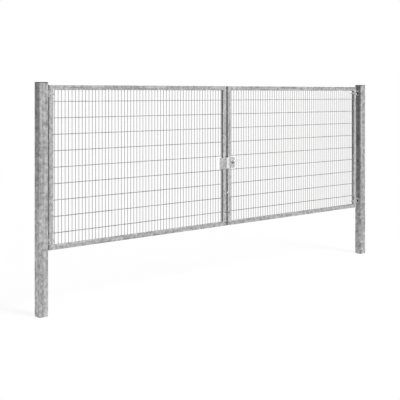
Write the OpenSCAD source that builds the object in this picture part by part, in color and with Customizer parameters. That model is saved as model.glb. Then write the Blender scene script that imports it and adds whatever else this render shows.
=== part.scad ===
// Double drive gate: two welded tube leaves filled with double-rod mesh, hung
// on square posts that stand in the ground.
// X runs along the gate, Y from its front to its back, and Z up.
// The origin is the middle of the left post's foot.

/* [Posts] */
// Width and depth of a post
post_w = 120; // [80:5:160]
// Wall of a post
post_wall = 4; // [3:0.5:6]
// Outer corner radius of a post
post_r = 8; // [7:1:14]
// Length of a post, foot to cap
post_len = 2800; // [2300:5:3600]
// Plate that closes a post's foot
foot_t = 5; // [4:1:10]
// Thickness of a cap's visible plate
cap_t = 10; // [3:1:12]
// How far a cap's skirt reaches into its post
cap_plug = 25; // [15:1:50]
// Wall of a cap's skirt
cap_wall = 3; // [2:0.5:4]
// Play between a cap's skirt and its post
cap_play = 0.3; // [0.2:0.1:0.8]

/* [Leaves] */
// Width of a leaf
leaf_w = 2921; // [1600:1:3600]
// Height of a leaf
leaf_h = 2000; // [1600:10:2400]
// Height of a leaf's lower edge over the posts' feet
leaf_lift = 775; // [400:5:1000]
// Frame tube, size seen from the front
tube_w = 60; // [50:1:80]
// Frame tube, front to back
tube_d = 40; // [40:1:50]
// Wall of the frame tube
tube_wall = 3; // [2:0.5:4]
// Outer corner radius of the frame tube
tube_r = 4.5; // [4.5:0.5:6]
// Distance from a post's front face back to a leaf's front face
setback = 60; // [30:1:70]
// Gap between the two closed leaves
centre_gap = 34; // [32:1:50]
// Diameter of the drain holes near the frame's lower corners
drain_d = 12; // [8:1:16]

/* [Mesh] */
// Diameter of the upright rods
rod_v = 6; // [4:0.5:8]
// Diameter of the level rods, one before and one behind the uprights
rod_h = 8; // [5:0.5:10]
// Spacing of the upright rods
pitch_x = 50; // [40:1:100]
// Spacing of the level rods
pitch_z = 200; // [100:5:250]
// Least distance from a stile to the first upright rod
edge_x = 25; // [15:1:50]
// Least distance from a rail to the first pair of level rods
edge_z = 130; // [40:5:200]
// Depth by which crossing rods are welded into each other
weld_sink = 0.5; // [0.3:0.1:1]
// Room that is cut out of the mesh round a hinge bolt's end
bolt_room = 8; // [4:1:20]
// Least room without upright rods beside the lock's and keeper's plates
window_side = 20; // [5:1:40]
// Least room without level rods over and under those plates
window_over = 6; // [5:1:20]
// How far an upright rod that ends there stands past its last level rod
rod_stub = 3; // [1:1:6]

/* [Hinges] */
// Distance of a hinge bolt from the leaf's upper or lower edge
hinge_inset = 107; // [90:1:250]
// Distance from a post to the hinge axis
axis_to_post = 27; // [26:1:60]
// Distance from the hinge axis to the leaf
axis_to_leaf = 23; // [21:1:60]
// Diameter of a hinge pin
pin_d = 16; // [12:1:20]
// Outer diameter of a hinge eye
eye_d = 30; // [26:1:34]
// Height of a hinge eye
eye_h = 48; // [30:1:60]
// Radial play of a hinge pin
pin_play = 0.08; // [0.02:0.01:0.1]
// Depth by which the thin nut on the hinge bolt runs into the eye
eye_weld = 2; // [1:0.5:4]
// Play over and under a hinge eye
eye_play = 0.5; // [0.3:0.1:1]
// Thickness of a bracket's ears
ear_t = 12; // [8:1:16]
// Width of a bracket's ears at the pin, front to back
ear_w = 30; // [24:1:34]
// How far a bracket reaches past that width towards the front
ear_front = 17; // [4:1:24]
// Thickness of a bracket's back plate
bracket_t = 6; // [4:1:8]
// Diameter of the threaded hinge bolt
bolt_d = 20; // [16:1:24]
// Play of the hinge bolt in the stile
bolt_play = 0.25; // [0.1:0.05:0.6]
// Size across the flats of the nuts on the hinge bolt
nut_af = 30; // [24:1:36]
// Thickness of the nut inside the leaf
nut_h = 16; // [12:1:20]
// Diameter of the washer inside the leaf
washer_d = 37; // [30:1:44]
// Thickness of the washer inside the leaf
washer_t = 3; // [2:0.5:5]
// Length of thread that stands past the nut in the left leaf
bolt_end_left = 1; // [1:1:45]
// Length of thread that stands past the nut in the right leaf
bolt_end_right = 28; // [1:1:45]
// Diameter of a hinge pin's head
pin_head_d = 26; // [22:1:30]
// Height of a hinge pin's head
pin_head_h = 8; // [5:1:12]

/* [Lock] */
// Height of the lever's axis over the leaf's lower edge
lever_z = 928; // [700:1:1300]
// Distance from the meeting stile to the lever's axis
lever_x = 22; // [18:1:30]
// Distance from the lever's axis down to the key cylinder
key_drop = 72; // [60:1:92]
// Top of the lock plates over the lever's axis
plate_top = 48; // [30:1:80]
// Height of the two lock plates
plate_h = 154; // [140:1:200]
// Width of the two lock plates
plate_w = 76; // [60:1:110]
// Thickness of the two lock plates
plate_t = 5; // [3:0.5:6]
// Corner radius of the two lock plates
plate_r = 14; // [6:1:20]
// Margin of the lock plates around the lock case
case_margin = 6; // [3:1:10]
// Diameter of the shaft that joins the two levers
lever_shaft_d = 14; // [10:1:18]
// Radial play of the lever shaft
lever_play = 0.08; // [0.02:0.01:0.1]
// Diameter of the roses under the levers
rose_d = 34; // [28:1:36]
// Thickness of the roses
rose_t = 5; // [3:0.5:8]
// Distance of a lever's grip from the rose
lever_out = 36; // [25:1:60]
// Length of a lever's grip from its axis
lever_len = 118; // [80:1:140]
// Diameter of a lever's grip
lever_d = 18; // [14:1:20]
// Diameter of the key cylinder's round part
key_d = 17; // [16:0.5:18]
// Width of the key cylinder's flat part
key_w = 10; // [9:0.5:11]
// Overall height of the key cylinder
key_h = 33; // [30:1:34]
// How far the key cylinder stands out of the lock plates
key_out = 4; // [1:1:12]
// Play around the key cylinder
key_play = 0.3; // [0.2:0.1:0.6]
// Height of the cover strip over the gap
strip_h = 158; // [140:1:200]
// Thickness of the cover strip
strip_t = 4; // [2:0.5:6]
// Width of the cover strip on the stile
strip_on = 22; // [15:1:40]
// Clearance from the cover strip to the other leaf
strip_clear = 6; // [6:1:15]
// Height of the keeper on the other leaf
keeper_h = 166; // [140:1:200]
// Width of the keeper plate on the other leaf
keeper_w = 62; // [50:1:90]
// Width of the keeper's box
keeper_box_w = 34; // [25:1:45]
// Cut of the keeper plate's outer corners
keeper_cut = 14; // [5:1:25]

/* [Drop bolts] */
// Diameter of a drop bolt
drop_d = 14; // [10:1:16]
// Distance from the gap to a drop bolt's axis, in its stile
drop_in = 18; // [16:1:22]
// Radial play of a drop bolt in its guides
drop_play = 0.08; // [0.02:0.01:0.1]
// Radial play of a drop bolt in the rail's hole
drop_hole_play = 0.5; // [0.3:0.1:1]
// Height of a drop bolt's lower end over the leaf's lower edge
drop_foot = 22; // [8:1:30]
// Travel of a drop bolt
drop_travel = 150; // [80:5:200]
// Height of the lower guide over the leaf's lower edge
guide_low = 46; // [46:1:80]
// Height of the upper guide over the leaf's lower edge
guide_high = 189; // [120:1:220]
// Height of a guide block
guide_h = 12; // [10:1:20]
// Width of a guide block
guide_w = 30; // [28:1:36]
// Play around a guide block
guide_play = 0.2; // [0.1:0.1:0.5]
// Height of a drop bolt's handle over the leaf's lower edge
pull_z = 469; // [400:1:560]
// Diameter of the handle's bar
pull_d = 10; // [8:1:10]
// Distance of the handle's bar from the stile
pull_out = 9; // [8:0.5:10]
// Play between the handle's bar and its slot in the stile
pull_play = 1; // [0.5:0.5:2]
// How far the handle stands out past the leaf
pull_reach = 8; // [6:1:30]
// Diameter of the handle's knob
knob_d = 17; // [12:1:18]
// Length of the handle's knob
knob_l = 14; // [10:1:20]

/* [Hidden] */

ROUND = 48;
// The mesh of a leaf is made in this many bays, a node each.
BAYS = 4;
// Extra length that carries a cut past a surface
OVER = 1;
ZINC = "silver";
BRIGHT = "gainsboro";
BLACK = "#202020";

// Layout along X: post, hinge gap, leaf, centre gap, and the same mirrored.
axis_x = post_w / 2 + axis_to_post;
leaf_x = axis_x + axis_to_leaf;
meet_x = leaf_x + leaf_w;
span = 2 * meet_x + centre_gap;
// Layout along Y
leaf_y = setback - post_w / 2;
mid_y = leaf_y + tube_d / 2;
back_y = leaf_y + tube_d;
// The leaf's clear opening inside its frame
inner_w = leaf_w - 2 * tube_w;
inner_h = leaf_h - 2 * tube_w;
inner_x = leaf_x + tube_w;
inner_z = leaf_lift + tube_w;
// Rods: as many as fit at their pitch, with equal margins
uprights = floor((inner_w - 2 * edge_x) / pitch_x) + 1;
levels = floor((inner_h - 2 * edge_z) / pitch_z) + 1;
first_x = inner_x + (inner_w - (uprights - 1) * pitch_x) / 2;
first_z = inner_z + (inner_h - (levels - 1) * pitch_z) / 2;
rod_offset = rod_flat(rod_v) + rod_flat(rod_h) - weld_sink;
// Hinges
hinge_zs = [leaf_lift + hinge_inset, leaf_lift + leaf_h - hinge_inset];
bracket_h = eye_h + 2 * eye_play + 2 * ear_t;
jam_t = axis_to_leaf - eye_d / 2 + eye_weld;
pin_len = bracket_h + pin_head_h;
// Lock, measured on the left side and mirrored to the right leaf
lock_z = leaf_lift + lever_z;
plate_z = lock_z + plate_top - plate_h;
case_x = meet_x - tube_w;
lever_axis_x = case_x - lever_x;
case_w = plate_w - 2 * case_margin;
case_h = plate_h - 2 * case_margin;
keeper_z = lock_z + plate_top - keeper_h;
strip_z = lock_z + plate_top - strip_h;
// The window in the mesh round the lock and the keeper, between level rods
window_low = level_z(floor((min(keeper_z, plate_z) - window_over - first_z) / pitch_z))
    + rod_h / 2 + rod_stub;
window_high = level_z(ceil((lock_z + plate_top + window_over - first_z) / pitch_z))
    - rod_h / 2 - rod_stub;
// Drop bolts
drop_x = meet_x - drop_in;
drop_z = leaf_lift + drop_foot;
drop_len = pull_z - drop_foot + pull_d;
guide_zs = [leaf_lift + guide_low, leaf_lift + guide_high];
pull_x = meet_x + pull_out;

// A rod is a hexagon with the area of its round section: the radius of its
// corners, and the distance from its axis to its flats
function rod_corner(d) = d / 2 * sqrt(2 * PI / (3 * sqrt(3)));
function rod_flat(d) = rod_corner(d) * cos(30);

// Height of a level rod by its number, from the lowest, which is 0
function level_z(i) = first_z + i * pitch_z;

// Width of the window beside a plate, up to midway between two upright rods
function window_w(plate) = first_x - inner_x
    + (ceil((plate + window_side - first_x + inner_x) / pitch_x) - 0.5) * pitch_x;

// --- helpers ---------------------------------------------------------------

// A rectangle with round corners, its lower corner at the origin
module round_rect(w, d, r) {
    translate([r, 0]) square([w - 2 * r, d]);
    translate([0, r]) square([w, d - 2 * r]);
    for (x = [r, w - r], y = [r, d - r]) translate([x, y]) circle(r, $fn = ROUND);
}

// The wall of a rectangular tube
module tube_wall_outline(w, d, r, wall) {
    difference() {
        round_rect(w, d, r);
        translate([wall, wall]) round_rect(w - 2 * wall, d - 2 * wall, r - wall);
    }
}

// The same thing at the other end of the gate
module on_right() {
    translate([span, 0, 0]) mirror([1, 0, 0]) children();
}

// Frame tube standing up, from the leaf's lower to its upper edge
module tube_up() {
    linear_extrude(leaf_h) tube_wall_outline(tube_w, tube_d, tube_r, tube_wall);
}

// Frame tube lying along X, from one side of the leaf to the other
module tube_along() {
    rotate([90, 0, 90]) linear_extrude(leaf_w)
        tube_wall_outline(tube_d, tube_w, tube_r, tube_wall);
}

// Stretches an outline in X and Z over the whole depth of a leaf
module through_leaf(points) {
    translate([0, tube_d + OVER, 0]) rotate([90, 0, 0])
        linear_extrude(tube_d + 2 * OVER) polygon(points);
}

// A round bar along X
module bar_x(len, d) {
    rotate([0, 90, 0]) cylinder(h = len, d = d, $fn = ROUND);
}

// A round bar along Y
module bar_y(len, d) {
    rotate([-90, 0, 0]) cylinder(h = len, d = d, $fn = ROUND);
}

// A hexagon nut along X, without its bore
module hex_x(len, af) {
    rotate([0, 90, 0]) cylinder(h = len, d = af / cos(30), $fn = 6);
}

// --- posts -----------------------------------------------------------------

module post() {
    color(ZINC) translate([-post_w / 2, -post_w / 2, 0]) {
        linear_extrude(foot_t) round_rect(post_w, post_w, post_r);
        translate([0, 0, foot_t]) linear_extrude(post_len - foot_t)
            tube_wall_outline(post_w, post_w, post_r, post_wall);
    }
}

module post_cap() {
    plug_w = post_w - 2 * (post_wall + cap_play);
    plug_r = post_r - post_wall;
    color(BLACK) translate([0, 0, post_len]) {
        translate([-post_w / 2, -post_w / 2, 0]) linear_extrude(cap_t)
            round_rect(post_w, post_w, post_r);
        translate([-plug_w / 2, -plug_w / 2, -cap_plug]) linear_extrude(cap_plug)
            tube_wall_outline(plug_w, plug_w, plug_r, cap_wall);
    }
}

// --- hinges ----------------------------------------------------------------

// Back plate on the post, and two ears with the pin's bores, square at the front
module hinge_bracket() {
    ear_len = axis_to_post;
    difference() {
        translate([post_w / 2, mid_y - ear_w / 2, -bracket_h / 2]) {
            translate([0, -ear_front, 0]) cube([bracket_t, ear_front + ear_w, bracket_h]);
            for (z = [0, bracket_h - ear_t]) translate([0, 0, z]) {
                cube([ear_len, ear_w, ear_t]);
                translate([ear_len, ear_w / 2, 0]) cylinder(h = ear_t, d = ear_w, $fn = ROUND);
                translate([0, -ear_front, 0])
                    cube([ear_len + ear_w / 2, ear_front + ear_w / 2, ear_t]);
            }
        }
        translate([axis_x, mid_y, -bracket_h / 2 - OVER])
            cylinder(h = bracket_h + 2 * OVER, d = pin_d + 2 * pin_play, $fn = ROUND);
    }
}

module hinge_brackets() {
    color(ZINC) for (z = hinge_zs) translate([0, 0, z]) hinge_bracket();
}

module hinge_pins() {
    color(ZINC) for (z = hinge_zs) translate([axis_x, mid_y, z - bracket_h / 2]) {
        cylinder(h = pin_len - pin_head_h, d = pin_d, $fn = ROUND);
        translate([0, 0, bracket_h]) cylinder(h = pin_head_h, d = pin_head_d, $fn = ROUND);
    }
}

// Eye round the pin, with a threaded shank through the stile and a thin nut
module eye_bolt(bolt_end) {
    difference() {
        union() {
            translate([0, 0, -eye_h / 2]) cylinder(h = eye_h, d = eye_d, $fn = ROUND);
            bar_x(axis_to_leaf + tube_w + washer_t + nut_h + bolt_end, bolt_d);
            translate([axis_to_leaf - jam_t, 0, 0]) hex_x(jam_t, nut_af);
        }
        translate([0, 0, -eye_h / 2 - OVER])
            cylinder(h = eye_h + 2 * OVER, d = pin_d + 2 * pin_play, $fn = ROUND);
    }
}

module eye_bolts(bolt_end) {
    color(ZINC) for (z = hinge_zs) translate([axis_x, mid_y, z]) eye_bolt(bolt_end);
}

// Washer and nut on the hinge bolt, inside the leaf
module hinge_nuts() {
    color(ZINC) for (z = hinge_zs) translate([inner_x, mid_y, z]) difference() {
        union() {
            bar_x(washer_t, washer_d);
            translate([washer_t, 0, 0]) hex_x(nut_h, nut_af);
        }
        translate([-OVER, 0, 0]) bar_x(washer_t + nut_h + 2 * OVER, bolt_d + 2 * bolt_play);
    }
}

// --- leaf frame ------------------------------------------------------------

// Drain hole through a stile's inner wall, over the bottom rail
module drain(x) {
    translate([x - tube_wall - OVER, mid_y, inner_z + drain_d / 2])
        bar_x(2 * (tube_wall + OVER), drain_d);
}

module hinge_stile() {
    color(ZINC) difference() {
        translate([leaf_x, leaf_y, leaf_lift]) intersection() {
            tube_up();
            through_leaf([[0, 0], [tube_w, tube_w], [tube_w, leaf_h - tube_w], [0, leaf_h]]);
        }
        for (z = hinge_zs) translate([leaf_x - OVER, mid_y, z])
            bar_x(tube_w + 2 * OVER, bolt_d + 2 * bolt_play);
        drain(inner_x);
    }
}

// Cuts for the drop bolt: a slot for its handle and one for each guide block
module drop_cuts() {
    slot_w = pull_d + 2 * pull_play;
    translate([meet_x - tube_wall - OVER, mid_y, 0]) {
        for (z = [leaf_lift + pull_z, leaf_lift + pull_z - drop_travel])
            translate([0, 0, z]) bar_x(tube_wall + 2 * OVER, slot_w);
        translate([0, -slot_w / 2, leaf_lift + pull_z - drop_travel])
            cube([tube_wall + 2 * OVER, slot_w, drop_travel]);
    }
    for (z = guide_zs)
        translate([meet_x - guide_w, leaf_y - OVER, z - guide_h / 2])
            cube([guide_w + OVER, tube_wall + OVER, guide_h]);
}

module meeting_stile() {
    color(ZINC) difference() {
        translate([meet_x - tube_w, leaf_y, leaf_lift]) intersection() {
            tube_up();
            through_leaf([[tube_w, 0], [tube_w, leaf_h], [0, leaf_h - tube_w], [0, tube_w]]);
        }
        drop_cuts();
        drain(meet_x - tube_w);
    }
}

module top_rail() {
    color(ZINC) translate([leaf_x, leaf_y, leaf_lift + leaf_h - tube_w]) intersection() {
        tube_along();
        through_leaf([[0, tube_w], [tube_w, 0], [leaf_w - tube_w, 0], [leaf_w, tube_w]]);
    }
}

module bottom_rail() {
    color(ZINC) difference() {
        translate([leaf_x, leaf_y, leaf_lift]) intersection() {
            tube_along();
            through_leaf([[0, 0], [leaf_w, 0], [leaf_w - tube_w, tube_w], [tube_w, tube_w]]);
        }
        translate([drop_x, mid_y, leaf_lift - OVER])
            cylinder(h = tube_wall + 2 * OVER, d = drop_d + 2 * drop_hole_play, $fn = ROUND);
    }
}

// --- mesh ------------------------------------------------------------------

// One bay of the mesh: its share of the upright rods, and the level rods as
// far as the middle between its last upright and the next bay's first
function bay_first(bay) = floor(bay * uprights / BAYS);
function bay_edge(bay) = bay == 0 ? inner_x
    : bay == BAYS ? inner_x + inner_w
    : first_x + (bay_first(bay) - 0.5) * pitch_x;

module mesh_bay(bay) {
    level_len = bay_edge(bay + 1) - bay_edge(bay);
    color(ZINC) {
        for (i = [bay_first(bay) : bay_first(bay + 1) - 1])
            translate([first_x + i * pitch_x, mid_y, inner_z])
                cylinder(h = inner_h, r = rod_corner(rod_v), $fn = 6);
        for (i = [0 : levels - 1], side = [-1, 1])
            translate([bay_edge(bay), mid_y + side * rod_offset, level_z(i)])
                rotate([0, 90, 0]) cylinder(h = level_len, r = rod_corner(rod_h), $fn = 6);
    }
}

// The bay beside the hinges, cut away round hinge bolts that would come too
// near to its first upright
module hinge_bay(bolt_end) {
    reach = washer_t + nut_h + bolt_end;
    difference() {
        mesh_bay(0);
        if (reach > first_x - inner_x - rod_v / 2 - 1.5)
            for (z = hinge_zs) translate([inner_x - OVER, mid_y, z])
                bar_x(reach + bolt_room, washer_d + bolt_room);
    }
}

// The bay beside the other leaf, with a window round a plate of this width
module meeting_bay(plate) {
    difference() {
        mesh_bay(BAYS - 1);
        translate([case_x - window_w(plate), leaf_y, window_low])
            cube([window_w(plate), tube_d, window_high - window_low]);
    }
}

// --- drop bolts ------------------------------------------------------------

// Outline of a guide block, seen from above, with the gap at its right: it
// fills the stile's hollow and, in front, the slot in the stile's wall
module guide_outline() {
    shelf = tube_wall + guide_play;
    block_w = guide_w - 2 * guide_play;
    intersection() {
        translate([shelf - tube_w, shelf])
            round_rect(tube_w - 2 * shelf, tube_d - 2 * shelf, tube_r - tube_wall);
        translate([-block_w, 0]) square([block_w, tube_d]);
    }
    translate([-block_w, 0]) square([block_w - tube_r, tube_wall + 2 * tube_r]);
    intersection() {
        translate([-tube_w, 0]) round_rect(tube_w, tube_d, tube_r);
        translate([-block_w, 0]) square([block_w, tube_wall - guide_play]);
    }
}

module drop_guides() {
    block_h = guide_h - 2 * guide_play;
    color(BLACK) for (z = guide_zs) translate([0, 0, z - block_h / 2]) difference() {
        translate([meet_x, leaf_y, 0]) linear_extrude(block_h) guide_outline();
        translate([drop_x, mid_y, -OVER])
            cylinder(h = block_h + 2 * OVER, d = drop_d + 2 * drop_play, $fn = ROUND);
    }
}

// The bolt with its handle: out through the slot, then to the front (side -1)
// or to the back (side 1), with a knob on its end
module drop_bolt(side) {
    bar_len = tube_d / 2 + pull_reach;
    color(ZINC) translate([drop_x, mid_y, 0]) {
        translate([0, 0, drop_z]) cylinder(h = drop_len, d = drop_d, $fn = ROUND);
        translate([0, 0, leaf_lift + pull_z]) {
            bar_x(pull_x - drop_x, pull_d);
            translate([pull_x - drop_x, 0, 0]) {
                sphere(d = pull_d, $fn = ROUND);
                mirror([0, side < 0 ? 1 : 0, 0]) {
                    bar_y(bar_len, pull_d);
                    translate([0, bar_len, 0]) bar_y(knob_l, knob_d);
                }
            }
        }
    }
}

// --- keeper on the passive leaf ----------------------------------------------

module keeper_plate() {
    color(ZINC) translate([case_x - keeper_w, leaf_y, keeper_z]) rotate([90, 0, 0])
        mirror([0, 0, 1]) linear_extrude(plate_t) polygon([
            [keeper_cut, 0], [keeper_w, 0], [keeper_w, keeper_h],
            [keeper_cut, keeper_h], [0, keeper_h - keeper_cut], [0, keeper_cut]
        ]);
}

module keeper_box() {
    color(ZINC) translate([case_x - keeper_box_w, leaf_y + plate_t, keeper_z + case_margin])
        cube([keeper_box_w, tube_d - 2 * plate_t, keeper_h - 2 * case_margin]);
}

// --- lock on the active leaf -------------------------------------------------

// Outline of the key cylinder, with a play all round it
module key_outline(play) {
    circle(d = key_d + 2 * play, $fn = ROUND);
    tail = key_h - key_d / 2 - key_w / 2;
    translate([-key_w / 2 - play, -tail]) square([key_w + 2 * play, tail]);
    translate([0, -tail]) circle(d = key_w + 2 * play, $fn = ROUND);
}

// Holes for the lever's shaft and the key cylinder, through the whole leaf
module lock_holes() {
    translate([lever_axis_x, leaf_y - OVER, lock_z])
        bar_y(tube_d + 2 * OVER, lever_shaft_d + 2 * lever_play);
    translate([lever_axis_x, back_y + OVER, lock_z - key_drop]) rotate([90, 0, 0])
        linear_extrude(tube_d + 2 * OVER) key_outline(key_play);
}

// A lock plate with its outer corners round, its front face at y
module lock_plate(y) {
    color(ZINC) difference() {
        translate([case_x - plate_w, y, plate_z]) rotate([90, 0, 0]) mirror([0, 0, 1])
            linear_extrude(plate_t) {
                round_rect(plate_w, plate_h, plate_r);
                translate([plate_w / 2, 0]) square([plate_w / 2, plate_h]);
            }
        lock_holes();
    }
}

module lock_case() {
    color(ZINC) difference() {
        translate([case_x - case_w, leaf_y + plate_t, plate_z + case_margin])
            cube([case_w, tube_d - 2 * plate_t, case_h]);
        lock_holes();
    }
}

// Bright strip that covers the gap between the leaves in front of the lock
module cover_strip() {
    color(BRIGHT) translate([meet_x - strip_on, leaf_y - strip_t, strip_z])
        cube([strip_on + centre_gap - strip_clear, strip_t, strip_h]);
}

module lock_roses() {
    color(BRIGHT) for (y = [leaf_y - rose_t, back_y])
        translate([lever_axis_x, y, lock_z]) difference() {
            bar_y(rose_t, rose_d);
            translate([0, -OVER, 0]) bar_y(rose_t + 2 * OVER, lever_shaft_d + 2 * lever_play);
        }
}

module lock_cylinder() {
    color(BRIGHT) translate([lever_axis_x, back_y + key_out, lock_z - key_drop])
        rotate([90, 0, 0]) linear_extrude(tube_d + 2 * key_out) key_outline(0);
}

// Two levers on one shaft, with grips that point away from the gap
module lever_handles() {
    reach = rose_t + lever_out;
    color(BRIGHT) translate([lever_axis_x, leaf_y, lock_z]) {
        translate([0, -reach, 0]) bar_y(tube_d + 2 * reach, lever_shaft_d);
        for (y = [-reach, tube_d + reach]) translate([0, y, 0]) {
            sphere(d = lever_d, $fn = ROUND);
            translate([-lever_len + lever_d / 2, 0, 0]) {
                bar_x(lever_len - lever_d / 2, lever_d);
                sphere(d = lever_d, $fn = ROUND);
            }
        }
    }
}

// --- the gate ----------------------------------------------------------------

post();  // left_post
post_cap();  // left_post_cap
hinge_brackets();  // left_hinge_brackets
hinge_pins();  // left_hinge_pins
on_right() post();  // right_post
on_right() post_cap();  // right_post_cap
on_right() hinge_brackets();  // right_hinge_brackets
on_right() hinge_pins();  // right_hinge_pins

hinge_stile();  // left_hinge_stile
meeting_stile();  // left_meeting_stile
top_rail();  // left_top_rail
bottom_rail();  // left_bottom_rail
hinge_bay(bolt_end_left);  // left_mesh_1
mesh_bay(1);  // left_mesh_2
mesh_bay(2);  // left_mesh_3
meeting_bay(keeper_w);  // left_mesh_4
eye_bolts(bolt_end_left);  // left_eye_bolts
hinge_nuts();  // left_hinge_nuts
keeper_plate();  // left_keeper_plate
keeper_box();  // left_keeper_box
drop_guides();  // left_drop_guides
drop_bolt(-1);  // left_drop_bolt

on_right() hinge_stile();  // right_hinge_stile
on_right() meeting_stile();  // right_meeting_stile
on_right() top_rail();  // right_top_rail
on_right() bottom_rail();  // right_bottom_rail
on_right() hinge_bay(bolt_end_right);  // right_mesh_1
on_right() mesh_bay(1);  // right_mesh_2
on_right() mesh_bay(2);  // right_mesh_3
on_right() meeting_bay(plate_w);  // right_mesh_4
on_right() eye_bolts(bolt_end_right);  // right_eye_bolts
on_right() hinge_nuts();  // right_hinge_nuts
on_right() lock_plate(leaf_y);  // lock_front_plate
on_right() lock_plate(back_y - plate_t);  // lock_back_plate
on_right() lock_case();
on_right() cover_strip();  // lock_cover_strip
on_right() lock_roses();
on_right() lock_cylinder();
on_right() lever_handles();
on_right() drop_guides();  // right_drop_guides
on_right() drop_bolt(1);  // right_drop_bolt
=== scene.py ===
"""Finish, welds, fittings and stage of a double drive gate, built round its CAD frame.

Lengths are in metres. X runs along the gate, Y from its front to its back, and Z up.
"""

import math
from types import SimpleNamespace

import bmesh
import bpy
from bpy.props import FloatProperty, FloatVectorProperty, IntProperty, PointerProperty
from mathutils import Euler, Matrix, Vector


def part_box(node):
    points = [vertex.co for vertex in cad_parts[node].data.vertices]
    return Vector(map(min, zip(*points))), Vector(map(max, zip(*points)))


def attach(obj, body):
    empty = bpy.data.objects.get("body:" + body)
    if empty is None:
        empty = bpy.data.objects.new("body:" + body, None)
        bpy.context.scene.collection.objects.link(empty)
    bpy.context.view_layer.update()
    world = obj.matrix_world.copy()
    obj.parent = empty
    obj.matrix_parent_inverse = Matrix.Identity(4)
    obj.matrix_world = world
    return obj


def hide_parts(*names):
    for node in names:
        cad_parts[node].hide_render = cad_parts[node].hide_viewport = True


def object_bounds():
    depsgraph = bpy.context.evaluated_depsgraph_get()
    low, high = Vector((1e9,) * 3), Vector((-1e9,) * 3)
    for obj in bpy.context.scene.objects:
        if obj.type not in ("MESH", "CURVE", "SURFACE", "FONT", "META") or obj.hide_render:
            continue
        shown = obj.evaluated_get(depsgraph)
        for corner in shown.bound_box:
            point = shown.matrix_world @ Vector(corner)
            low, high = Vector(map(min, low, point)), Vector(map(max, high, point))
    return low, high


bl_info = {
    "name": "Double Gate",
    "version": (1, 0, 0),
    "blender": (4, 5, 0),
    "location": "3D Viewport > Sidebar > Gate",
    "description": "Finish, welds and fittings of a double drive gate, round its CAD frame",
    "category": "Add Mesh",
}

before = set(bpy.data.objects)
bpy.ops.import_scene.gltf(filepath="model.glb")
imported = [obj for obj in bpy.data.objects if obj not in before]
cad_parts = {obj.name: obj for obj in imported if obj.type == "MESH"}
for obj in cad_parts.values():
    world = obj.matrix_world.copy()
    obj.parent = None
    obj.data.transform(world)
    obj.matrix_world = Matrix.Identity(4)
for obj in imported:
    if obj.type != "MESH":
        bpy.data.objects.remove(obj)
CAD_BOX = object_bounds()

SIDES = ("left", "right")
# Seeds of the weld nuggets and collars in each leaf
SEEDS = {"left": 4, "right": 5}
X_AXIS, Y_AXIS, Z_AXIS = Vector((1, 0, 0)), Vector((0, 1, 0)), Vector((0, 0, 1))
# Faces that meet at less than this are shaded as one round surface.
SMOOTH_ANGLE = math.radians(25)
# Corners rounder than this are left alone when a piece's edges are broken.
SHARP_ANGLE = math.radians(30)
# Points nearer than this are one, and faces that meet at less than this angle are one.
MERGE_DISTANCE, FLAT_ANGLE = 1e-5, math.radians(1)


# --- settings that a user would change -------------------------------------------------------


def size(label, description, default):
    """A length property."""
    return FloatProperty(
        name=label, description=description, default=default, min=0.0, precision=4,
        subtype="DISTANCE", unit="LENGTH",
    )


def share(label, description, default, high=1.0):
    """A property without a unit, from 0 up."""
    return FloatProperty(name=label, description=description, default=default, min=0.0, max=high)


def turn(label, description, default):
    """An angle property, its default in degrees."""
    return FloatProperty(
        name=label, description=description, default=math.radians(default),
        subtype="ANGLE", unit="ROTATION",
    )


def tint(label, description, default):
    """A colour property."""
    return FloatVectorProperty(
        name=label, description=description, default=default,
        size=3, min=0.0, max=1.0, subtype="COLOR",
    )


class GATE_PG_mesh(bpy.types.PropertyGroup):
    """Sizes of the double-rod mesh in both leaves."""

    upright_d: size("Upright rod", "Diameter of the upright rods", 0.006)
    level_d: size("Level rod", "Diameter of the level rods", 0.008)
    weld_sink: size("Weld sink", "Depth by which crossing rods are pressed into each other", 0.0005)
    pitch_x: size("Upright pitch", "Spacing of the upright rods", 0.05)
    pitch_z: size("Level pitch", "Spacing of the level rods", 0.2)
    edge_x: size("Side edge", "Least distance from a stile to the first upright rod", 0.025)
    edge_z: size("Rail edge", "Least distance from a rail to the first level rods", 0.13)
    bolt_room: size("Bolt room", "Room cut out of the mesh round a hinge bolt's end", 0.008)
    bolt_gap: size("Bolt gap", "Least gap between a hinge bolt's end and a whole upright", 0.0015)
    window_side: size("Window side", "Least room without rods beside the lock and the keeper", 0.02)
    window_over: size("Window over", "Least room without level rods over and under them", 0.006)
    rod_stub: size("Rod stub", "How far a cut upright stands past its last level rod", 0.003)
    nugget_w: size("Nugget", "Width of the weld nugget where two rods cross", 0.0052)
    collar_w: size("Collar", "Width of the weld round the end of a rod", 0.0115)
    collar_h: size("Collar height", "Height of the weld round the end of a rod", 0.003)
    rod_sides: IntProperty(
        name="Rod sides", description="Faces round a rod", default=12, min=3, max=32,
    )


class GATE_PG_welds(bpy.types.PropertyGroup):
    """Sizes of the weld beads on the frames and hinge brackets."""

    bead_w: size("Bead width", "Width of a weld bead's round section", 0.007)
    bead_rise: size("Bead rise", "Height of a dressed weld bead over the tube", 0.0009)
    fillet_rise: size("Fillet rise", "Height of an undressed fillet weld over its corner", 0.0022)
    ripple: size("Ripple", "Spacing of a bead's ripples", 0.0032)
    seed: IntProperty(name="Seed", description="Seed of the beads' unevenness", default=7)


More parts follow.
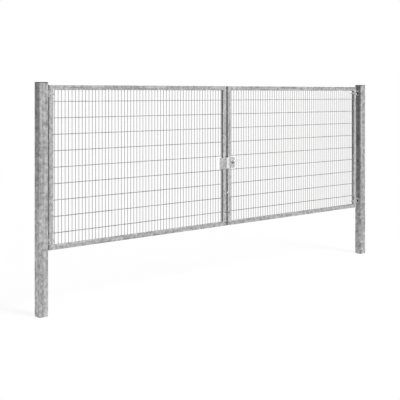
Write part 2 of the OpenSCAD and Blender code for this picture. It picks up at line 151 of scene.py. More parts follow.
class GATE_PG_fittings(bpy.types.PropertyGroup):
    """Sizes of the hinges, lock, keeper and drop bolts that the CAD frame doesn't give."""

    edge: size("Edge", "Width of the broken edges of plates and boxes", 0.0008)
    bracket_edge: size("Bracket edge", "Width of the broken edges of hinge brackets", 0.0016)
    chamfer: size("Chamfer", "Chamfer at the ends of pins, bolts and eyes", 0.0015)
    bolt_d: size("Hinge bolt", "Diameter of the threaded hinge bolt", 0.02)
    nut_flats: size("Nut", "Size across the flats of the nuts on the hinge bolt", 0.03)
    washer_t: size("Washer", "Thickness of the washer inside the leaf", 0.003)
    thread_pitch: size("Thread pitch", "Pitch of the hinge bolt's thread", 0.0025)
    thread_depth: size("Thread depth", "Depth of the hinge bolt's thread", 0.0013)
    pin_d: size("Hinge pin", "Diameter of a hinge pin", 0.016)
    pin_head_h: size("Pin head", "Height of a hinge pin's head", 0.008)
    bracket_t: size("Bracket plate", "Thickness of a hinge bracket's back plate", 0.006)
    # The liners are black sheets that paint the shade in the hinge brackets' pockets.
    shade_liner_t: size("Liner", "Thickness of the plastic liner in a hinge bracket", 0.0025)
    shade_liner_in: size("Liner inset", "Distance of the liner from the bracket's edges", 0.0015)
    # The buffer is a rubber stop, made black to paint the deep shade in the gap over the cover
    # strip.
    shade_buffer_t: size("Buffer", "How far the rubber buffer reaches into the gap", 0.024)
    shade_buffer_h: size("Buffer height", "Height of the rubber buffer over the cover strip", 0.017)
    screw_d: size("Plate screw", "Head diameter of the screws in the lock plates", 0.0085)
    screw_inset: size("Screw inset", "Distance of a plate's screws from its edges", 0.011)
    stile_screw_d: size("Stile screw", "Head diameter of the keeper's screws in the stile", 0.0075)
    stile_screw_in: size("Stile screw inset", "Distance of the keeper's screws from the gap", 0.011)
    grip_bend: size("Grip bend", "Radius of the bend between a lever's neck and its grip", 0.012)
    neck_d: size("Lever neck", "Diameter of a lever's neck at its rose", 0.016)
    bar_d: size("Handle bar", "Diameter of a drop bolt's handle", 0.01)
    knob_l: size("Knob", "Length of the knob on a drop bolt's handle", 0.014)
    drop_d: size("Drop bolt", "Diameter of a drop bolt", 0.014)
    key_d: size("Key plug", "Diameter of the key cylinder's turning plug", 0.013)


class GATE_PG_finish(bpy.types.PropertyGroup):
    """Colours and pattern sizes of the finishes."""

    zinc_light: tint("Light zinc", "Fresh, bright parts of the zinc coat", (0.61, 0.61, 0.61))
    zinc_dark: tint("Dark zinc", "Weathered, dull parts of the zinc coat", (0.25, 0.251, 0.253))
    # The uprights' colours are darker and the level rods' lighter than one zinc wire: painted shade
    # on the uprights, their nuggets and collars, and painted light on the level rods.
    rod_light: tint("Light rod", "Bright parts of the upright rods", (0.2, 0.2, 0.202))
    rod_dark: tint("Dark rod", "Dull parts of the upright rods", (0.08, 0.08, 0.082))
    level_light: tint("Light level rod", "Bright parts of the level rods", (0.44, 0.44, 0.442))
    level_dark: tint("Dark level rod", "Dull parts of the level rods", (0.2, 0.2, 0.202))
    steel: tint("Stainless", "Brushed stainless steel", (0.80, 0.80, 0.79))
    plastic: tint("Plastic", "Black moulded plastic", (0.022, 0.022, 0.024))
    spangle: size("Spangle", "Size of the zinc coat's crystals", 0.019)
    cloud: size("Clouds", "Size of the clouds in the zinc coat", 0.06)


class GATE_PG_stage(bpy.types.PropertyGroup):
    """Camera, floor and light."""

    eye: FloatVectorProperty(
        name="Camera", description="Place of the camera", default=(-5.3015, -8.9196, 2.6834),
        subtype="TRANSLATION", unit="LENGTH",
    )
    heading: turn("Heading", "Turn of the level camera from +Y towards +X", 41.29)
    lens: FloatProperty(
        name="Lens", description="Focal length on a 36 mm wide sensor", default=76.56,
        min=1.0, subtype="DISTANCE_CAMERA", unit="CAMERA",
    )
    shift_y: FloatProperty(name="Rise", description="Vertical shift of the lens", default=-0.2687)
    floor_w: size("Floor", "Width of the floor", 80.0)
    floor_drop: size("Floor drop", "Depth of the floor under the posts' feet", 0.001)
    floor_pale: share("Floor brightness", "Share of light that the floor returns at the gate", 0.6)
    floor_far: share("Far brightness", "The same away from the gate", 0.1)
    pale_near: size("Near floor", "Distance from the gate where the floor starts to fade", 0.2)
    pale_reach: size("Far floor", "Distance from the gate where the floor has faded", 2.5)
    shadow: share("Shadow", "How strongly the gate's shadow shows on the floor", 0.2)
    shadow_near: size("Near shadow", "Distance from the gate where its shadow starts to fade", 5.0)
    shadow_reach: size("Far shadow", "Distance from the gate where its shadow has faded", 16.0)
    ambient: share("Ambient", "Brightness of the light from all round", 0.08)
    key: share("Key", "Light of the main lamp on a surface that faces it", 3.3, 20.0)
    back_key: share("Back key", "The same for the lamp behind the gate", 1.6, 20.0)
    back_rise: turn("Back key rise", "Height of the lamp behind the gate over the horizon", 7.0)
    key_distance: size("Key distance", "Distance of the main and back lamps from the gate", 40.0)
    key_heading: turn("Key heading", "Turn of the main and back lamps from the Y axis to +X", 9.0)
    key_rise: turn("Key rise", "Height of the main lamp over the horizon", 38.0)
    key_soft: turn("Key softness", "Apparent size of the main, back and side lamps", 22.0)
    glint: share("Glint", "Strength of the side lamp, which only glints on edges", 1.8, 20.0)
    fill: share("Fill", "Watts of the low lamp by the left post, twice the right's", 20.0, 500.0)
    tall_fill: share("Tall fill", "Watts of the tall lamp by the left post", 10.0, 500.0)
    fill_reach: size("Fill distance", "Distance of these lamps from the posts", 2.2)
    fill_height: size("Fill height", "Height of the low lamps", 0.3)


# --- meshes ----------------------------------------------------------------------------------


def new_object(name, data):
    """An object in the scene."""
    made = bpy.data.objects.new(name, data)
    bpy.context.scene.collection.objects.link(made)
    return made


def mesh_of(name, bm):
    """A mesh made of a bmesh, which is freed."""
    mesh = bpy.data.meshes.new(name)
    bm.to_mesh(mesh)
    bm.free()
    return mesh


def ends_of(name, axis):
    """The boxes of the two pieces of a CAD node that lie at its two ends along an axis."""
    low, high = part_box(name)
    middle = (low[axis] + high[axis]) / 2
    points = [vertex.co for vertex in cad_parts[name].data.vertices]
    groups = ([p for p in points if p[axis] < middle], [p for p in points if p[axis] >= middle])
    return [
        (Vector(map(min, zip(*group))), Vector(map(max, zip(*group)))) for group in groups
    ]


def placed(bm, matrix):
    """Moves a bmesh, and turns its faces if the move mirrors it."""
    bm.transform(matrix)
    if matrix.is_negative:
        bmesh.ops.reverse_faces(bm, faces=bm.faces)
    return bm


def bridge(bm, low, high):
    """Faces between two rings of as many points, either of which may be a single point."""
    count = max(len(low), len(high))
    for i in range(count):
        j = (i + 1) % count
        corners = [low[i % len(low)], low[j % len(low)], high[j % len(high)], high[i % len(high)]]
        corners = list(dict.fromkeys(corners))
        if len(corners) > 2:
            bm.faces.new(corners)


def lathe(bm, profile, matrix, steps=40, closed=False):
    """Turns a profile of (radius, height) points about the matrix's Z axis."""
    rings = []
    for radius, height in profile:
        turns = steps if radius > 0 else 1
        angles = [2 * math.pi * k / steps for k in range(turns)]
        points = [Vector((radius * math.cos(a), radius * math.sin(a), height)) for a in angles]
        rings.append([bm.verts.new(matrix @ point) for point in points])
    if closed:
        rings.append(rings[0])
    for low, high in zip(rings, rings[1:]):
        bridge(bm, low, high)


def sweep(bm, stations):
    """A skin through rings of points, closed by a flat face at both ends."""
    rings = [[bm.verts.new(point) for point in ring] for ring in stations]
    for low, high in zip(rings, rings[1:]):
        bridge(bm, low, high)
    bm.faces.new(rings[0])
    bm.faces.new(rings[-1])


def along(origin, direction):
    """A matrix that puts its Z axis along a direction, from an origin."""
    return Matrix.Translation(origin) @ direction.to_track_quat("Z", "Y").to_matrix().to_4x4()


def chamfered_bar(bm, start, end, diameter, chamfer):
    """A round bar from start to end, with both edges broken."""
    radius, length = diameter / 2, (end - start).length
    profile = [
        (0, 0), (radius - chamfer, 0), (radius, chamfer),
        (radius, length - chamfer), (radius - chamfer, length), (0, length),
    ]
    lathe(bm, profile, along(start, end - start))


def broken(bm, edges, width):
    """Rounds edges of a bmesh."""
    bmesh.ops.bevel(
        bm, geom=edges, offset=width, offset_type="OFFSET", segments=2, profile=0.5,
        affect="EDGES", clamp_overlap=True,
    )


def rounded_block(bm, low, high, edge):
    """Adds a block between two corners, with its edges rounded."""
    middle, size_of = (low + high) / 2, high - low
    matrix = Matrix.Translation(middle) @ Matrix.Diagonal((*size_of, 1))
    made = bmesh.ops.create_cube(bm, size=1.0, matrix=matrix)["verts"]
    broken(bm, list({line for vert in made for line in vert.link_edges}), edge)


def softened(name, width):
    """A CAD node's shape, its triangles joined to flat faces and its sharp edges broken."""
    bm = bmesh.new()
    bm.from_mesh(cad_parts[name].data)
    bmesh.ops.remove_doubles(bm, verts=bm.verts, dist=MERGE_DISTANCE)
    bmesh.ops.dissolve_limit(bm, angle_limit=FLAT_ANGLE, verts=bm.verts, edges=bm.edges)
    sharp = [
        edge for edge in bm.edges
        if len(edge.link_faces) == 2 and edge.calc_face_angle() > SHARP_ANGLE
    ]
    broken(bm, sharp, width)
    return bm


def cut(bm, tool):
    """Takes a second closed bmesh away from the first, and frees both for the result."""
    parts = []
    for shape in (bm, tool):
        bmesh.ops.recalc_face_normals(shape, faces=shape.faces)
        parts.append(new_object("part", mesh_of("part", shape)))
    body, cutter = parts
    modifier = body.modifiers.new("Cut", "BOOLEAN")
    modifier.operation = "DIFFERENCE"
    modifier.solver = "EXACT"
    modifier.object = cutter
    graph = bpy.context.evaluated_depsgraph_get()
    result = bmesh.new()
    result.from_mesh(body.evaluated_get(graph).to_mesh())
    for part in parts:
        mesh = part.data
        bpy.data.objects.remove(part)
        bpy.data.meshes.remove(mesh)
    return result


def shaded(mesh):
    """Shades a mesh smooth, with its sharp corners kept."""
    mesh.shade_smooth()
    mesh.set_sharp_from_angle(angle=SMOOTH_ANGLE)


def add_piece(name, bm, body, finish, replaced=()):
    """Makes a finished piece of a bmesh: its material, its body and the CAD nodes it stands for."""
    bmesh.ops.recalc_face_normals(bm, faces=bm.faces)
    mesh = mesh_of(name, bm)
    shaded(mesh)
    mesh.materials.append(finish_named(finish))
    mounted(new_object(name, mesh), body, finish, replaced)


def add_softened(name, source, width, body, finish):
    """Makes a finished piece of a CAD node, with its edges broken."""
    add_piece(name, softened(source, width), body, finish, [source])


def mounted(made, body, finish, replaced):
    """Lets a piece ride on its body and hides the CAD nodes that it stands for; its finish is not
    used.
    """
    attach(made, body)
    if replaced:
        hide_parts(*replaced)


# --- where things are, from the frame --------------------------------------------------------


def gate_span():
    """The sum of a left place's X and its mirrored place's X."""
    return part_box("left_post")[0].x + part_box("right_post")[1].x


def side_matrix(side):
    """Leaves the left half of the gate where it is, or mirrors it onto the right half."""
    if side == "left":
        return Matrix.Identity(4)
    return Matrix.Translation((gate_span(), 0, 0)) @ Matrix.Diagonal((-1, 1, 1, 1))


def hinge_bolts(side):
    """The boxes of a leaf's two eye bolts, as if on the left, the lower one first."""
    boxes, span = ends_of(f"{side}_eye_bolts", 2), gate_span()
    if side == "left":
        return boxes
    return [
        (Vector((span - high.x, low.y, low.z)), Vector((span - low.x, high.y, high.z)))
        for low, high in boxes
    ]


def leaf_facts():
    """The left leaf's frame: its outer edges, its clear opening and its depth."""
    low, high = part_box("left_bottom_rail")
    top_low, top_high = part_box("left_top_rail")
    inner_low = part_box("left_hinge_stile")[1].x
    inner_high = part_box("left_meeting_stile")[0].x
    return SimpleNamespace(
        x=(low.x, high.x), z=(low.z, top_high.z), y=(low.y, high.y),
        inner_x=(inner_low, inner_high), inner_z=(high.z, top_low.z), mid_y=(low.y + high.y) / 2,
    )


# A row that fits but for this share of its pitch still counts as fitting.
COUNT_PLAY = 1e-4


def places(low, high, least, pitch):
    """Places at a pitch between two edges, as many as fit, with equal margins."""
    count = math.floor((high - low - 2 * least) / pitch + COUNT_PLAY) + 1
    first = low + (high - low - (count - 1) * pitch) / 2
    return [first + i * pitch for i in range(count)]


# --- node trees ------------------------------------------------------------------------------


def node(tree, kind, inputs=None, **settings):
    """A node with its settings, and its inputs by name or number, each a value or a link."""
    made = tree.nodes.new(kind)
    for key, value in settings.items():
        setattr(made, key, value)
    for key, value in (inputs or {}).items():
        if isinstance(value, bpy.types.NodeSocket):
            tree.links.new(value, made.inputs[key])
        else:
            made.inputs[key].default_value = value
    return made


def output(tree, kind, inputs=None, **settings):
    """The first output of a new node."""
    return node(tree, kind, inputs, **settings).outputs[0]


def calc(tree, operation, *values):
    """The result of a math node."""
    return output(tree, "ShaderNodeMath", dict(enumerate(values)), operation=operation)


def vector_calc(tree, operation, *values):
    """The result of a vector math node."""
    return output(tree, "ShaderNodeVectorMath", dict(enumerate(values)), operation=operation)


def plus(tree, first, second):
    """A sum in a tree."""
    return calc(tree, "ADD", first, second)


def minus(tree, first, second):
    """A difference in a tree."""
    return calc(tree, "SUBTRACT", first, second)


def times(tree, first, second):
    """A product in a tree."""
    return calc(tree, "MULTIPLY", first, second)


def over(tree, first, second):
    """A quotient in a tree."""
    return calc(tree, "DIVIDE", first, second)


def from_half(tree, value, weight):
    """How far a value lies from a half, times a weight."""
    return times(tree, minus(tree, value, 0.5), weight)


def noise(tree, vector, scale, detail, roughness=0.5):
    """The value of a noise texture."""
    return output(
        tree, "ShaderNodeTexNoise",
        {"Vector": vector, "Scale": scale, "Detail": detail, "Roughness": roughness},
    )


def blended(tree, factor, first, second):
    """A colour that goes from the first to the second as the factor rises."""
    return node(
        tree, "ShaderNodeMix", {"Factor": factor, 6: first, 7: second}, data_type="RGBA",
    ).outputs[2]


def new_group(name, kind, inputs, outputs):
    """A node group with named sockets, and the sockets inside it to link from and to."""
    tree = bpy.data.node_groups.new(name, kind)
    for label, socket_kind, default in inputs:
        socket = tree.interface.new_socket(label, in_out="INPUT", socket_type=socket_kind)
        if default is not None:
            socket.default_value = default
    for label, socket_kind in outputs:
        tree.interface.new_socket(label, in_out="OUTPUT", socket_type=socket_kind)
    given = tree.nodes.new("NodeGroupInput").outputs
    wanted = tree.nodes.new("NodeGroupOutput").inputs
    return tree, given, wanted


def close_group(tree, wanted, **sockets):
    """Links a group's outputs, by their names."""
    for label, socket in sockets.items():
        tree.links.new(socket, wanted[label])
    return tree


def group_in(tree, name, build, inputs):
    """The outputs of a group placed in a material, the group built if it isn't there yet."""
    group = bpy.data.node_groups.get(name) or build(name)
    return node(tree, "ShaderNodeGroup", inputs, node_tree=group).outputs


FLOAT, VECTOR, COLOUR = "NodeSocketFloat", "NodeSocketVector", "NodeSocketColor"

# Scales along X, Y and Z of the runs in a zinc coat, on upright and on level pieces
RUNS_UP, RUNS_ALONG = (40.0, 40.0, 1.2), (1.2, 40.0, 40.0)
# How far the coat's patterns are bent out of line, and the scale of the noise that bends them
BEND, BEND_SCALE = 0.022, 45.0
# Scale of the small crystals over that of the large ones, and scale of the broadest patches
FLECKS, BROAD_SCALE = 2.6, 3.1
# Weights in the coat's tone: of its large and small crystals, clouds, broad patches and runs
TONE_WEIGHTS = (0.34, 0.22, 3.0, 0.5, 1.5)
# Weights in its roughness, of the small crystals and the clouds
ROUGH_FLECK, ROUGH_CLOUDS = 0.16, -0.5
# Weights in its metal and in its height: of the large crystals and a constant, and of the large
# crystals and the clouds
METAL_CRYSTAL, METAL_LEAST, HEIGHT_CRYSTAL, HEIGHT_CLOUDS = 0.7, 0.65, 0.4, 0.9
# Depth of its bump in metres, and its specular level
ZINC_DEPTH, ZINC_SPECULAR = 0.0006, 0.3
# Scale of the wear on grained finishes, and the weights in their roughness of grain and of wear
WEAR_SCALE, GRAIN_WEIGHT, WEAR_WEIGHT = 32.0, 0.7, 0.3


def build_zinc(name):
    """Hot-dip zinc: crystals of two sizes, soft clouds, and runs along the piece."""
    tree, given, wanted = new_group(
        name, "ShaderNodeTree",
        [
            ("Vector", VECTOR, None), ("Light", COLOUR, (0.6, 0.6, 0.6, 1)),
            ("Dark", COLOUR, (0.3, 0.3, 0.3, 1)), ("Spangle", FLOAT, 0.02), ("Clouds", FLOAT, 0.05),
            ("Bands", VECTOR, RUNS_UP), ("Contrast", FLOAT, 1.0),
            ("Roughness", FLOAT, 0.45), ("Metal", FLOAT, 0.3),
        ],
        [("Colour", COLOUR), ("Roughness", FLOAT), ("Metal", FLOAT), ("Height", FLOAT)],
    )
    place = given["Vector"]
    spread = node(tree, "ShaderNodeTexNoise", {"Vector": place, "Scale": BEND_SCALE, "Detail": 2.0})
    way = vector_calc(tree, "SUBTRACT", spread.outputs["Color"], (0.5, 0.5, 0.5))
    bent = vector_calc(tree, "ADD", place, vector_calc(tree, "MULTIPLY", way, (BEND, BEND, BEND)))
    scale = over(tree, 1.0, given["Spangle"])
    large, small = (
        node(tree, "ShaderNodeTexVoronoi", {"Vector": bent, "Scale": each}).outputs["Color"]
        for each in (scale, times(tree, scale, FLECKS))
    )
    crystal = output(tree, "ShaderNodeSeparateColor", {0: large})
    fleck = node(tree, "ShaderNodeSeparateColor", {0: small}).outputs[1]
    cloud_scale = over(tree, 1.0, given["Clouds"])
    clouds = noise(tree, bent, cloud_scale, detail=4.0, roughness=0.62)
    broad = noise(tree, place, BROAD_SCALE, detail=2.0)
    stretched = vector_calc(tree, "MULTIPLY", place, given["Bands"])
    bands = noise(tree, stretched, 1.0, detail=2.0)
    patterns = (crystal, fleck, clouds, broad, bands)
    total, *rest = [
        from_half(tree, pattern, weight) for pattern, weight in zip(patterns, TONE_WEIGHTS)
    ]
    for part in rest:
        total = plus(tree, total, part)
    tone = output(
        tree, "ShaderNodeMath", {0: times(tree, total, given["Contrast"]), 1: 0.5},
        operation="ADD", use_clamp=True,
    )
    rough = plus(tree, given["Roughness"], from_half(tree, fleck, ROUGH_FLECK))
    metal = plus(tree, times(tree, crystal, METAL_CRYSTAL), METAL_LEAST)
    return close_group(
        tree, wanted, Colour=blended(tree, tone, given["Dark"], given["Light"]),
        Roughness=plus(tree, rough, from_half(tree, clouds, ROUGH_CLOUDS)),
        Metal=times(tree, given["Metal"], metal),
        Height=plus(
            tree, times(tree, crystal, HEIGHT_CRYSTAL), times(tree, clouds, HEIGHT_CLOUDS),
        ),
    )


def build_grain(name):
    """Fine scratches or grain: noise stretched along an axis, with a coarser wear over it."""
    tree, given, wanted = new_group(
        name, "ShaderNodeTree",
        [
            ("Vector", VECTOR, None), ("Grain", VECTOR, (400.0, 400.0, 400.0)),
            ("Middle", FLOAT, 0.4), ("Spread", FLOAT, 0.2),
        ],
        [("Value", FLOAT), ("Height", FLOAT), ("Wear", FLOAT)],
    )
    stretched = vector_calc(tree, "MULTIPLY", given["Vector"], given["Grain"])
    fine = noise(tree, stretched, 1.0, detail=3.0, roughness=0.6)
    wear = noise(tree, given["Vector"], WEAR_SCALE, detail=3.0)
    both = plus(tree, times(tree, fine, GRAIN_WEIGHT), times(tree, wear, WEAR_WEIGHT))
    value = plus(tree, given["Middle"], from_half(tree, both, given["Spread"]))
    return close_group(tree, wanted, Value=value, Height=fine, Wear=wear)


# --- finishes --------------------------------------------------------------------------------


def emptied(data):
    """The node tree of a material or a world, with nothing in it."""
    data.use_nodes = True
    data.node_tree.nodes.clear()
    return data.node_tree


def new_material(name):
    """A material with its tree, its shader and the object's own coordinates."""
    material = bpy.data.materials.new(name)
    tree = emptied(material)
    shader = node(tree, "ShaderNodeBsdfPrincipled")
    node(tree, "ShaderNodeOutputMaterial", {"Surface": shader.outputs[0]})
    return material, tree, shader, node(tree, "ShaderNodeTexCoord").outputs["Object"]


def surfaced(tree, shader, colour, roughness, height, bump, depth):
    """Gives a shader its colour, its roughness and the bump of a height."""
    raised = output(tree, "ShaderNodeBump", {"Height": height, "Strength": bump, "Distance": depth})
    for label, socket in (("Base Color", colour), ("Roughness", roughness), ("Normal", raised)):
        tree.links.new(socket, shader.inputs[label])


def zinc(
    name, colours="zinc", brighter=(1.0, 1.0), spangle=1.0, clouds=1.0,
    contrast=1.0, roughness=0.5, metal=0.06, bump=0.25, bands=RUNS_UP,
):
    """A galvanised finish. Its colours, crystals and clouds are factors of the settings' own."""
    look = bpy.context.scene.gate_finish
    light, dark = (
        (*[factor * c for c in getattr(look, f"{colours}_{tone}")], 1)
        for tone, factor in zip(("light", "dark"), brighter)
    )
    material, tree, shader, place = new_material(name)
    coat = group_in(
        tree, "Zinc Coat", build_zinc,
        {
            "Vector": place, "Light": light, "Dark": dark, "Spangle": look.spangle * spangle,
            "Clouds": look.cloud * clouds, "Bands": bands, "Contrast": contrast,
            "Roughness": roughness, "Metal": metal,
        },
    )
    surfaced(tree, shader, coat["Colour"], coat["Roughness"], coat["Height"], bump, ZINC_DEPTH)
    tree.links.new(coat["Metal"], shader.inputs["Metallic"])
    shader.inputs["Specular IOR Level"].default_value = ZINC_SPECULAR
    return material


def grained(name, colour, tones, grain, middle, spread, bump, depth, fixed):
    """A finish with a fine grain, its colour times one tone where fresh and another where worn."""
    first, second = (
        (*[tone * c for c in getattr(bpy.context.scene.gate_finish, colour)], 1) for tone in tones
    )
    material, tree, shader, place = new_material(name)
    pattern = group_in(
        tree, "Fine Grain", build_grain,
        {"Vector": place, "Grain": grain, "Middle": middle, "Spread": spread},
    )
    worn = blended(tree, pattern["Wear"], first, second)
    surfaced(tree, shader, worn, pattern["Value"], pattern["Height"], bump, depth)
    for label, value in fixed.items():
        shader.inputs[label].default_value = value
    return material


# What makes each finish, and how
FINISHES = {
    "galvanised_post": (zinc, {}),
    "galvanised_frame": (
        zinc, {"brighter": (1.13, 1.2), "spangle": 0.9, "clouds": 0.8, "contrast": 0.9},
    ),
    "galvanised_rail": (
        zinc, {"spangle": 0.9, "clouds": 0.8, "contrast": 0.9, "bands": RUNS_ALONG},
    ),
    # Upright rods with their nuggets and collars are painted darker, and level rods lighter, though
    # all are one zinc wire: painted shade and painted light.
    "galvanised_mesh": (
        zinc, {"colours": "rod", "spangle": 0.7, "contrast": 0.8, "roughness": 0.42, "bump": 0.15},
    ),
    "galvanised_level": (
        zinc, {
            "colours": "level", "spangle": 0.7, "contrast": 0.8, "roughness": 0.42, "bump": 0.15,
            "bands": RUNS_ALONG,
        },
    ),
    # Lighter than the posts' zinc: painted light that brightens the hinges where their ears shade
    # them, and all the other hardware with them.
    "galvanised_hardware": (
        zinc, {
            "brighter": (1.2, 1.25), "spangle": 0.35, "clouds": 0.4, "contrast": 0.7,
            "roughness": 0.4, "metal": 0.15, "bump": 0.3,
        },
    ),
    # Brushed, its lines along the gate
    "stainless": (
        grained, {
            "colour": "steel", "tones": (0.86, 1.0), "grain": (60.0, 900.0, 1500.0), "middle": 0.34,
            "spread": 0.35, "bump": 0.15, "depth": 0.0002, "fixed": {"Metallic": 0.75},
        },
    ),
    # Matt, with a fine grain and dust
    "black_plastic": (
        grained, {
            "colour": "plastic", "tones": (1.0, 1.9), "grain": (700.0, 700.0, 700.0), "middle": 0.5,
            "spread": 0.25, "bump": 0.3, "depth": 0.0003, "fixed": {"Specular IOR Level": 0.25},
        },
    ),
}


def finish_named(name):
    """The material of a finish, made the first time that it is asked for."""
    make, settings = FINISHES[name]
    label = f"{name}_finish"
    return bpy.data.materials.get(label) or make(label, **settings)


# --- Geometry Nodes trees --------------------------------------------------------------------

GEOMETRY, INTEGER, MATERIAL = "NodeSocketGeometry", "NodeSocketInt", "NodeSocketMaterial"
# Seed of the turns of scattered shapes about their own axes
TWIST_SEED = 1


def builder_tree(name, sizes):
    """A Geometry Nodes group that takes a guide mesh, sizes and a material."""
    inputs = [("Guide", GEOMETRY, None), *sizes, ("Finish", MATERIAL, None)]
    return new_group(name, "GeometryNodeTree", inputs, [("Geometry", GEOMETRY)])


def close_tree(tree, given, wanted, geometry):
    """Ends a tree: instances made real, and the finish set."""
    real = output(tree, "GeometryNodeRealizeInstances", {"Geometry": geometry})
    inputs = {"Geometry": real, "Material": given["Finish"]}
    return close_group(tree, wanted, Geometry=output(tree, "GeometryNodeSetMaterial", inputs))


def attribute(tree, name, kind):
    """A named attribute of the guide mesh."""
    made = node(tree, "GeometryNodeInputNamedAttribute", {"Name": name}, data_type=kind)
    return made.outputs["Attribute"]


def random_value(tree, low, high, seed):
    """A random number between two limits, or a random vector if the limits are vectors."""
    vector = isinstance(low, tuple)
    kind, first, result = ("FLOAT_VECTOR", 0, 0) if vector else ("FLOAT", 2, 1)
    made = node(
        tree, "FunctionNodeRandomValue", {first: low, first + 1: high, 8: seed}, data_type=kind,
    )
    return made.outputs[result]


def round_skin(tree, given, wanted, curve, sides, radius, scale):
    """Ends a tree with a round skin along a curve, closed at its ends."""
    profile = output(
        tree, "GeometryNodeCurvePrimitiveCircle", {"Resolution": sides, "Radius": radius},
    )
    skin = output(
        tree, "GeometryNodeCurveToMesh",
        {"Curve": curve, "Profile Curve": profile, "Scale": scale, "Fill Caps": True},
    )
    return close_tree(tree, given, wanted, skin)


def rods_tree():
    """Round rods along the guide's edges, as thick as its points say."""
    tree, given, wanted = builder_tree("Round Rods", [("Sides", INTEGER, 12)])
    curve = output(tree, "GeometryNodeMeshToCurve", {"Mesh": given["Guide"]})
    thickness = attribute(tree, "thickness", "FLOAT")
    return round_skin(tree, given, wanted, curve, given["Sides"], 0.5, thickness)


def bead_tree():
    """A rippled weld bead along the guide's edges."""
    tree, given, wanted = builder_tree(
        "Weld Bead", [("Width", FLOAT, 0.006), ("Ripple", FLOAT, 0.003), ("Seed", INTEGER, 1)],
    )
    rows_a_ripple, ripple_height, least, most, sides = 3.0, 0.07, 0.93, 1.07, 10
    curve = output(tree, "GeometryNodeMeshToCurve", {"Mesh": given["Guide"]})
    step = over(tree, given["Ripple"], rows_a_ripple)
    fine = output(
        tree, "GeometryNodeResampleCurve", {"Curve": curve, "Length": step}, mode="LENGTH",
    )
    run = node(tree, "GeometryNodeSplineParameter").outputs["Length"]
    phase = times(tree, over(tree, run, given["Ripple"]), 2 * math.pi)
    wave = times(tree, calc(tree, "SINE", phase), ripple_height)
    uneven = plus(tree, random_value(tree, least, most, given["Seed"]), wave)
    radius = over(tree, given["Width"], 2.0)
    return round_skin(tree, given, wanted, fine, sides, radius, uneven)


def scatter(tree, given, wanted, shape, scale=(1.0, 1.0, 1.0), twist=2 * math.pi):
    """Ends a tree with a shape at each guide point, its Z axis along the point's direction."""
    facing = output(
        tree, "FunctionNodeAlignRotationToVector",
        {"Vector": attribute(tree, "direction", "FLOAT_VECTOR")}, axis="Z",
    )
    spread = output(
        tree, "GeometryNodeInstanceOnPoints",
        {"Points": given["Guide"], "Instance": shape, "Rotation": facing, "Scale": scale},
    )
    spin = random_value(tree, (0, 0, 0), (0, 0, twist), TWIST_SEED)
    turned = output(
        tree, "GeometryNodeRotateInstances",
        {"Instances": spread, "Rotation": spin, "Local Space": True},
    )
    return close_tree(tree, given, wanted, turned)


def nugget_tree():
    """Weld nuggets where rods cross, each a little different."""
    tree, given, wanted = builder_tree(
        "Weld Nuggets", [("Width", FLOAT, 0.005), ("Seed", INTEGER, 3)],
    )
    least, most, flatness = 0.85, 1.15, 0.62
    ball = output(tree, "GeometryNodeMeshUVSphere", {"Segments": 6, "Rings": 4, "Radius": 0.5})
    width = times(tree, random_value(tree, least, most, given["Seed"]), given["Width"])
    height = times(tree, width, flatness)
    flat = output(tree, "ShaderNodeCombineXYZ", {0: width, 1: width, 2: height})
    return scatter(tree, given, wanted, ball, scale=flat)


def collar_tree():
    """Low cones of weld round the rods' ends."""
    tree, given, wanted = builder_tree(
        "Weld Collars", [("Width", FLOAT, 0.011), ("Height", FLOAT, 0.003), ("Seed", INTEGER, 5)],
    )
    least, most, top, sides = (0.9, 0.9, 0.7), (1.12, 1.12, 1.2), 0.26, 10
    cone = output(
        tree, "GeometryNodeMeshCone",
        {
            "Vertices": sides, "Radius Top": times(tree, given["Width"], top),
            "Radius Bottom": times(tree, given["Width"], 0.5), "Depth": given["Height"],
        },
    )
    uneven = random_value(tree, least, most, given["Seed"])
    return scatter(tree, given, wanted, cone, scale=uneven)


def joined(tree, operation, first, *others):
    """The exact union, difference or intersection of meshes in a tree."""
    made = tree.nodes.new("GeometryNodeMeshBoolean")
    made.operation = operation
    made.solver = "EXACT"
    if operation == "DIFFERENCE":
        tree.links.new(first, made.inputs["Mesh 1"])
    else:
        others = (first, *others)
    for other in others:
        tree.links.new(other, made.inputs["Mesh 2"])
    return made.outputs["Mesh"]


def lifted(tree, geometry, z):
    """Geometry moved along Z by a number or a link."""
    offset = output(tree, "ShaderNodeCombineXYZ", {2: z})
    return output(tree, "GeometryNodeTransform", {"Geometry": geometry, "Translation": offset})


def cylinder_at(tree, sides, radius, depth, base=0.0):
    """A cylinder that stands on a height."""
    body = output(
        tree, "GeometryNodeMeshCylinder", {"Vertices": sides, "Radius": radius, "Depth": depth},
    )
    return lifted(tree, body, plus(tree, base, times(tree, depth, 0.5)))


def cone_over(tree, top_radius, slope, depth, flipped=False):
    """A wide cone on the origin's plane that breaks the upper edge, or if flipped the lower one."""
    cone = output(
        tree, "GeometryNodeMeshCone",
        {
            "Vertices": 48, "Radius Top": top_radius, "Depth": depth,
            "Radius Bottom": calc(tree, "MULTIPLY_ADD", depth, slope, top_radius),
        },
    )
    if not flipped:
        return cone
    half_turn = Euler((math.pi, 0, 0))
    turned = output(tree, "GeometryNodeTransform", {"Geometry": cone, "Rotation": half_turn})
    return lifted(tree, turned, depth)


def nut_tree():
    """Hexagon nuts with both faces chamfered."""
    tree, given, wanted = builder_tree(
        "Hexagon Nuts", [("Flats", FLOAT, 0.03), ("Height", FLOAT, 0.016)],
    )
    # The round face that the chamfer leaves, its radius as a share of the width over the flats
    face_share, slope = 0.475, math.sqrt(3)
    face, height = times(tree, given["Flats"], face_share), given["Height"]
    prism = cylinder_at(tree, 6, over(tree, given["Flats"], math.sqrt(3)), height)
    shape = joined(
        tree, "INTERSECT", prism, cone_over(tree, face, slope, height),
        cone_over(tree, face, slope, height, flipped=True),
    )
    return scatter(tree, given, wanted, shape, twist=0.0)


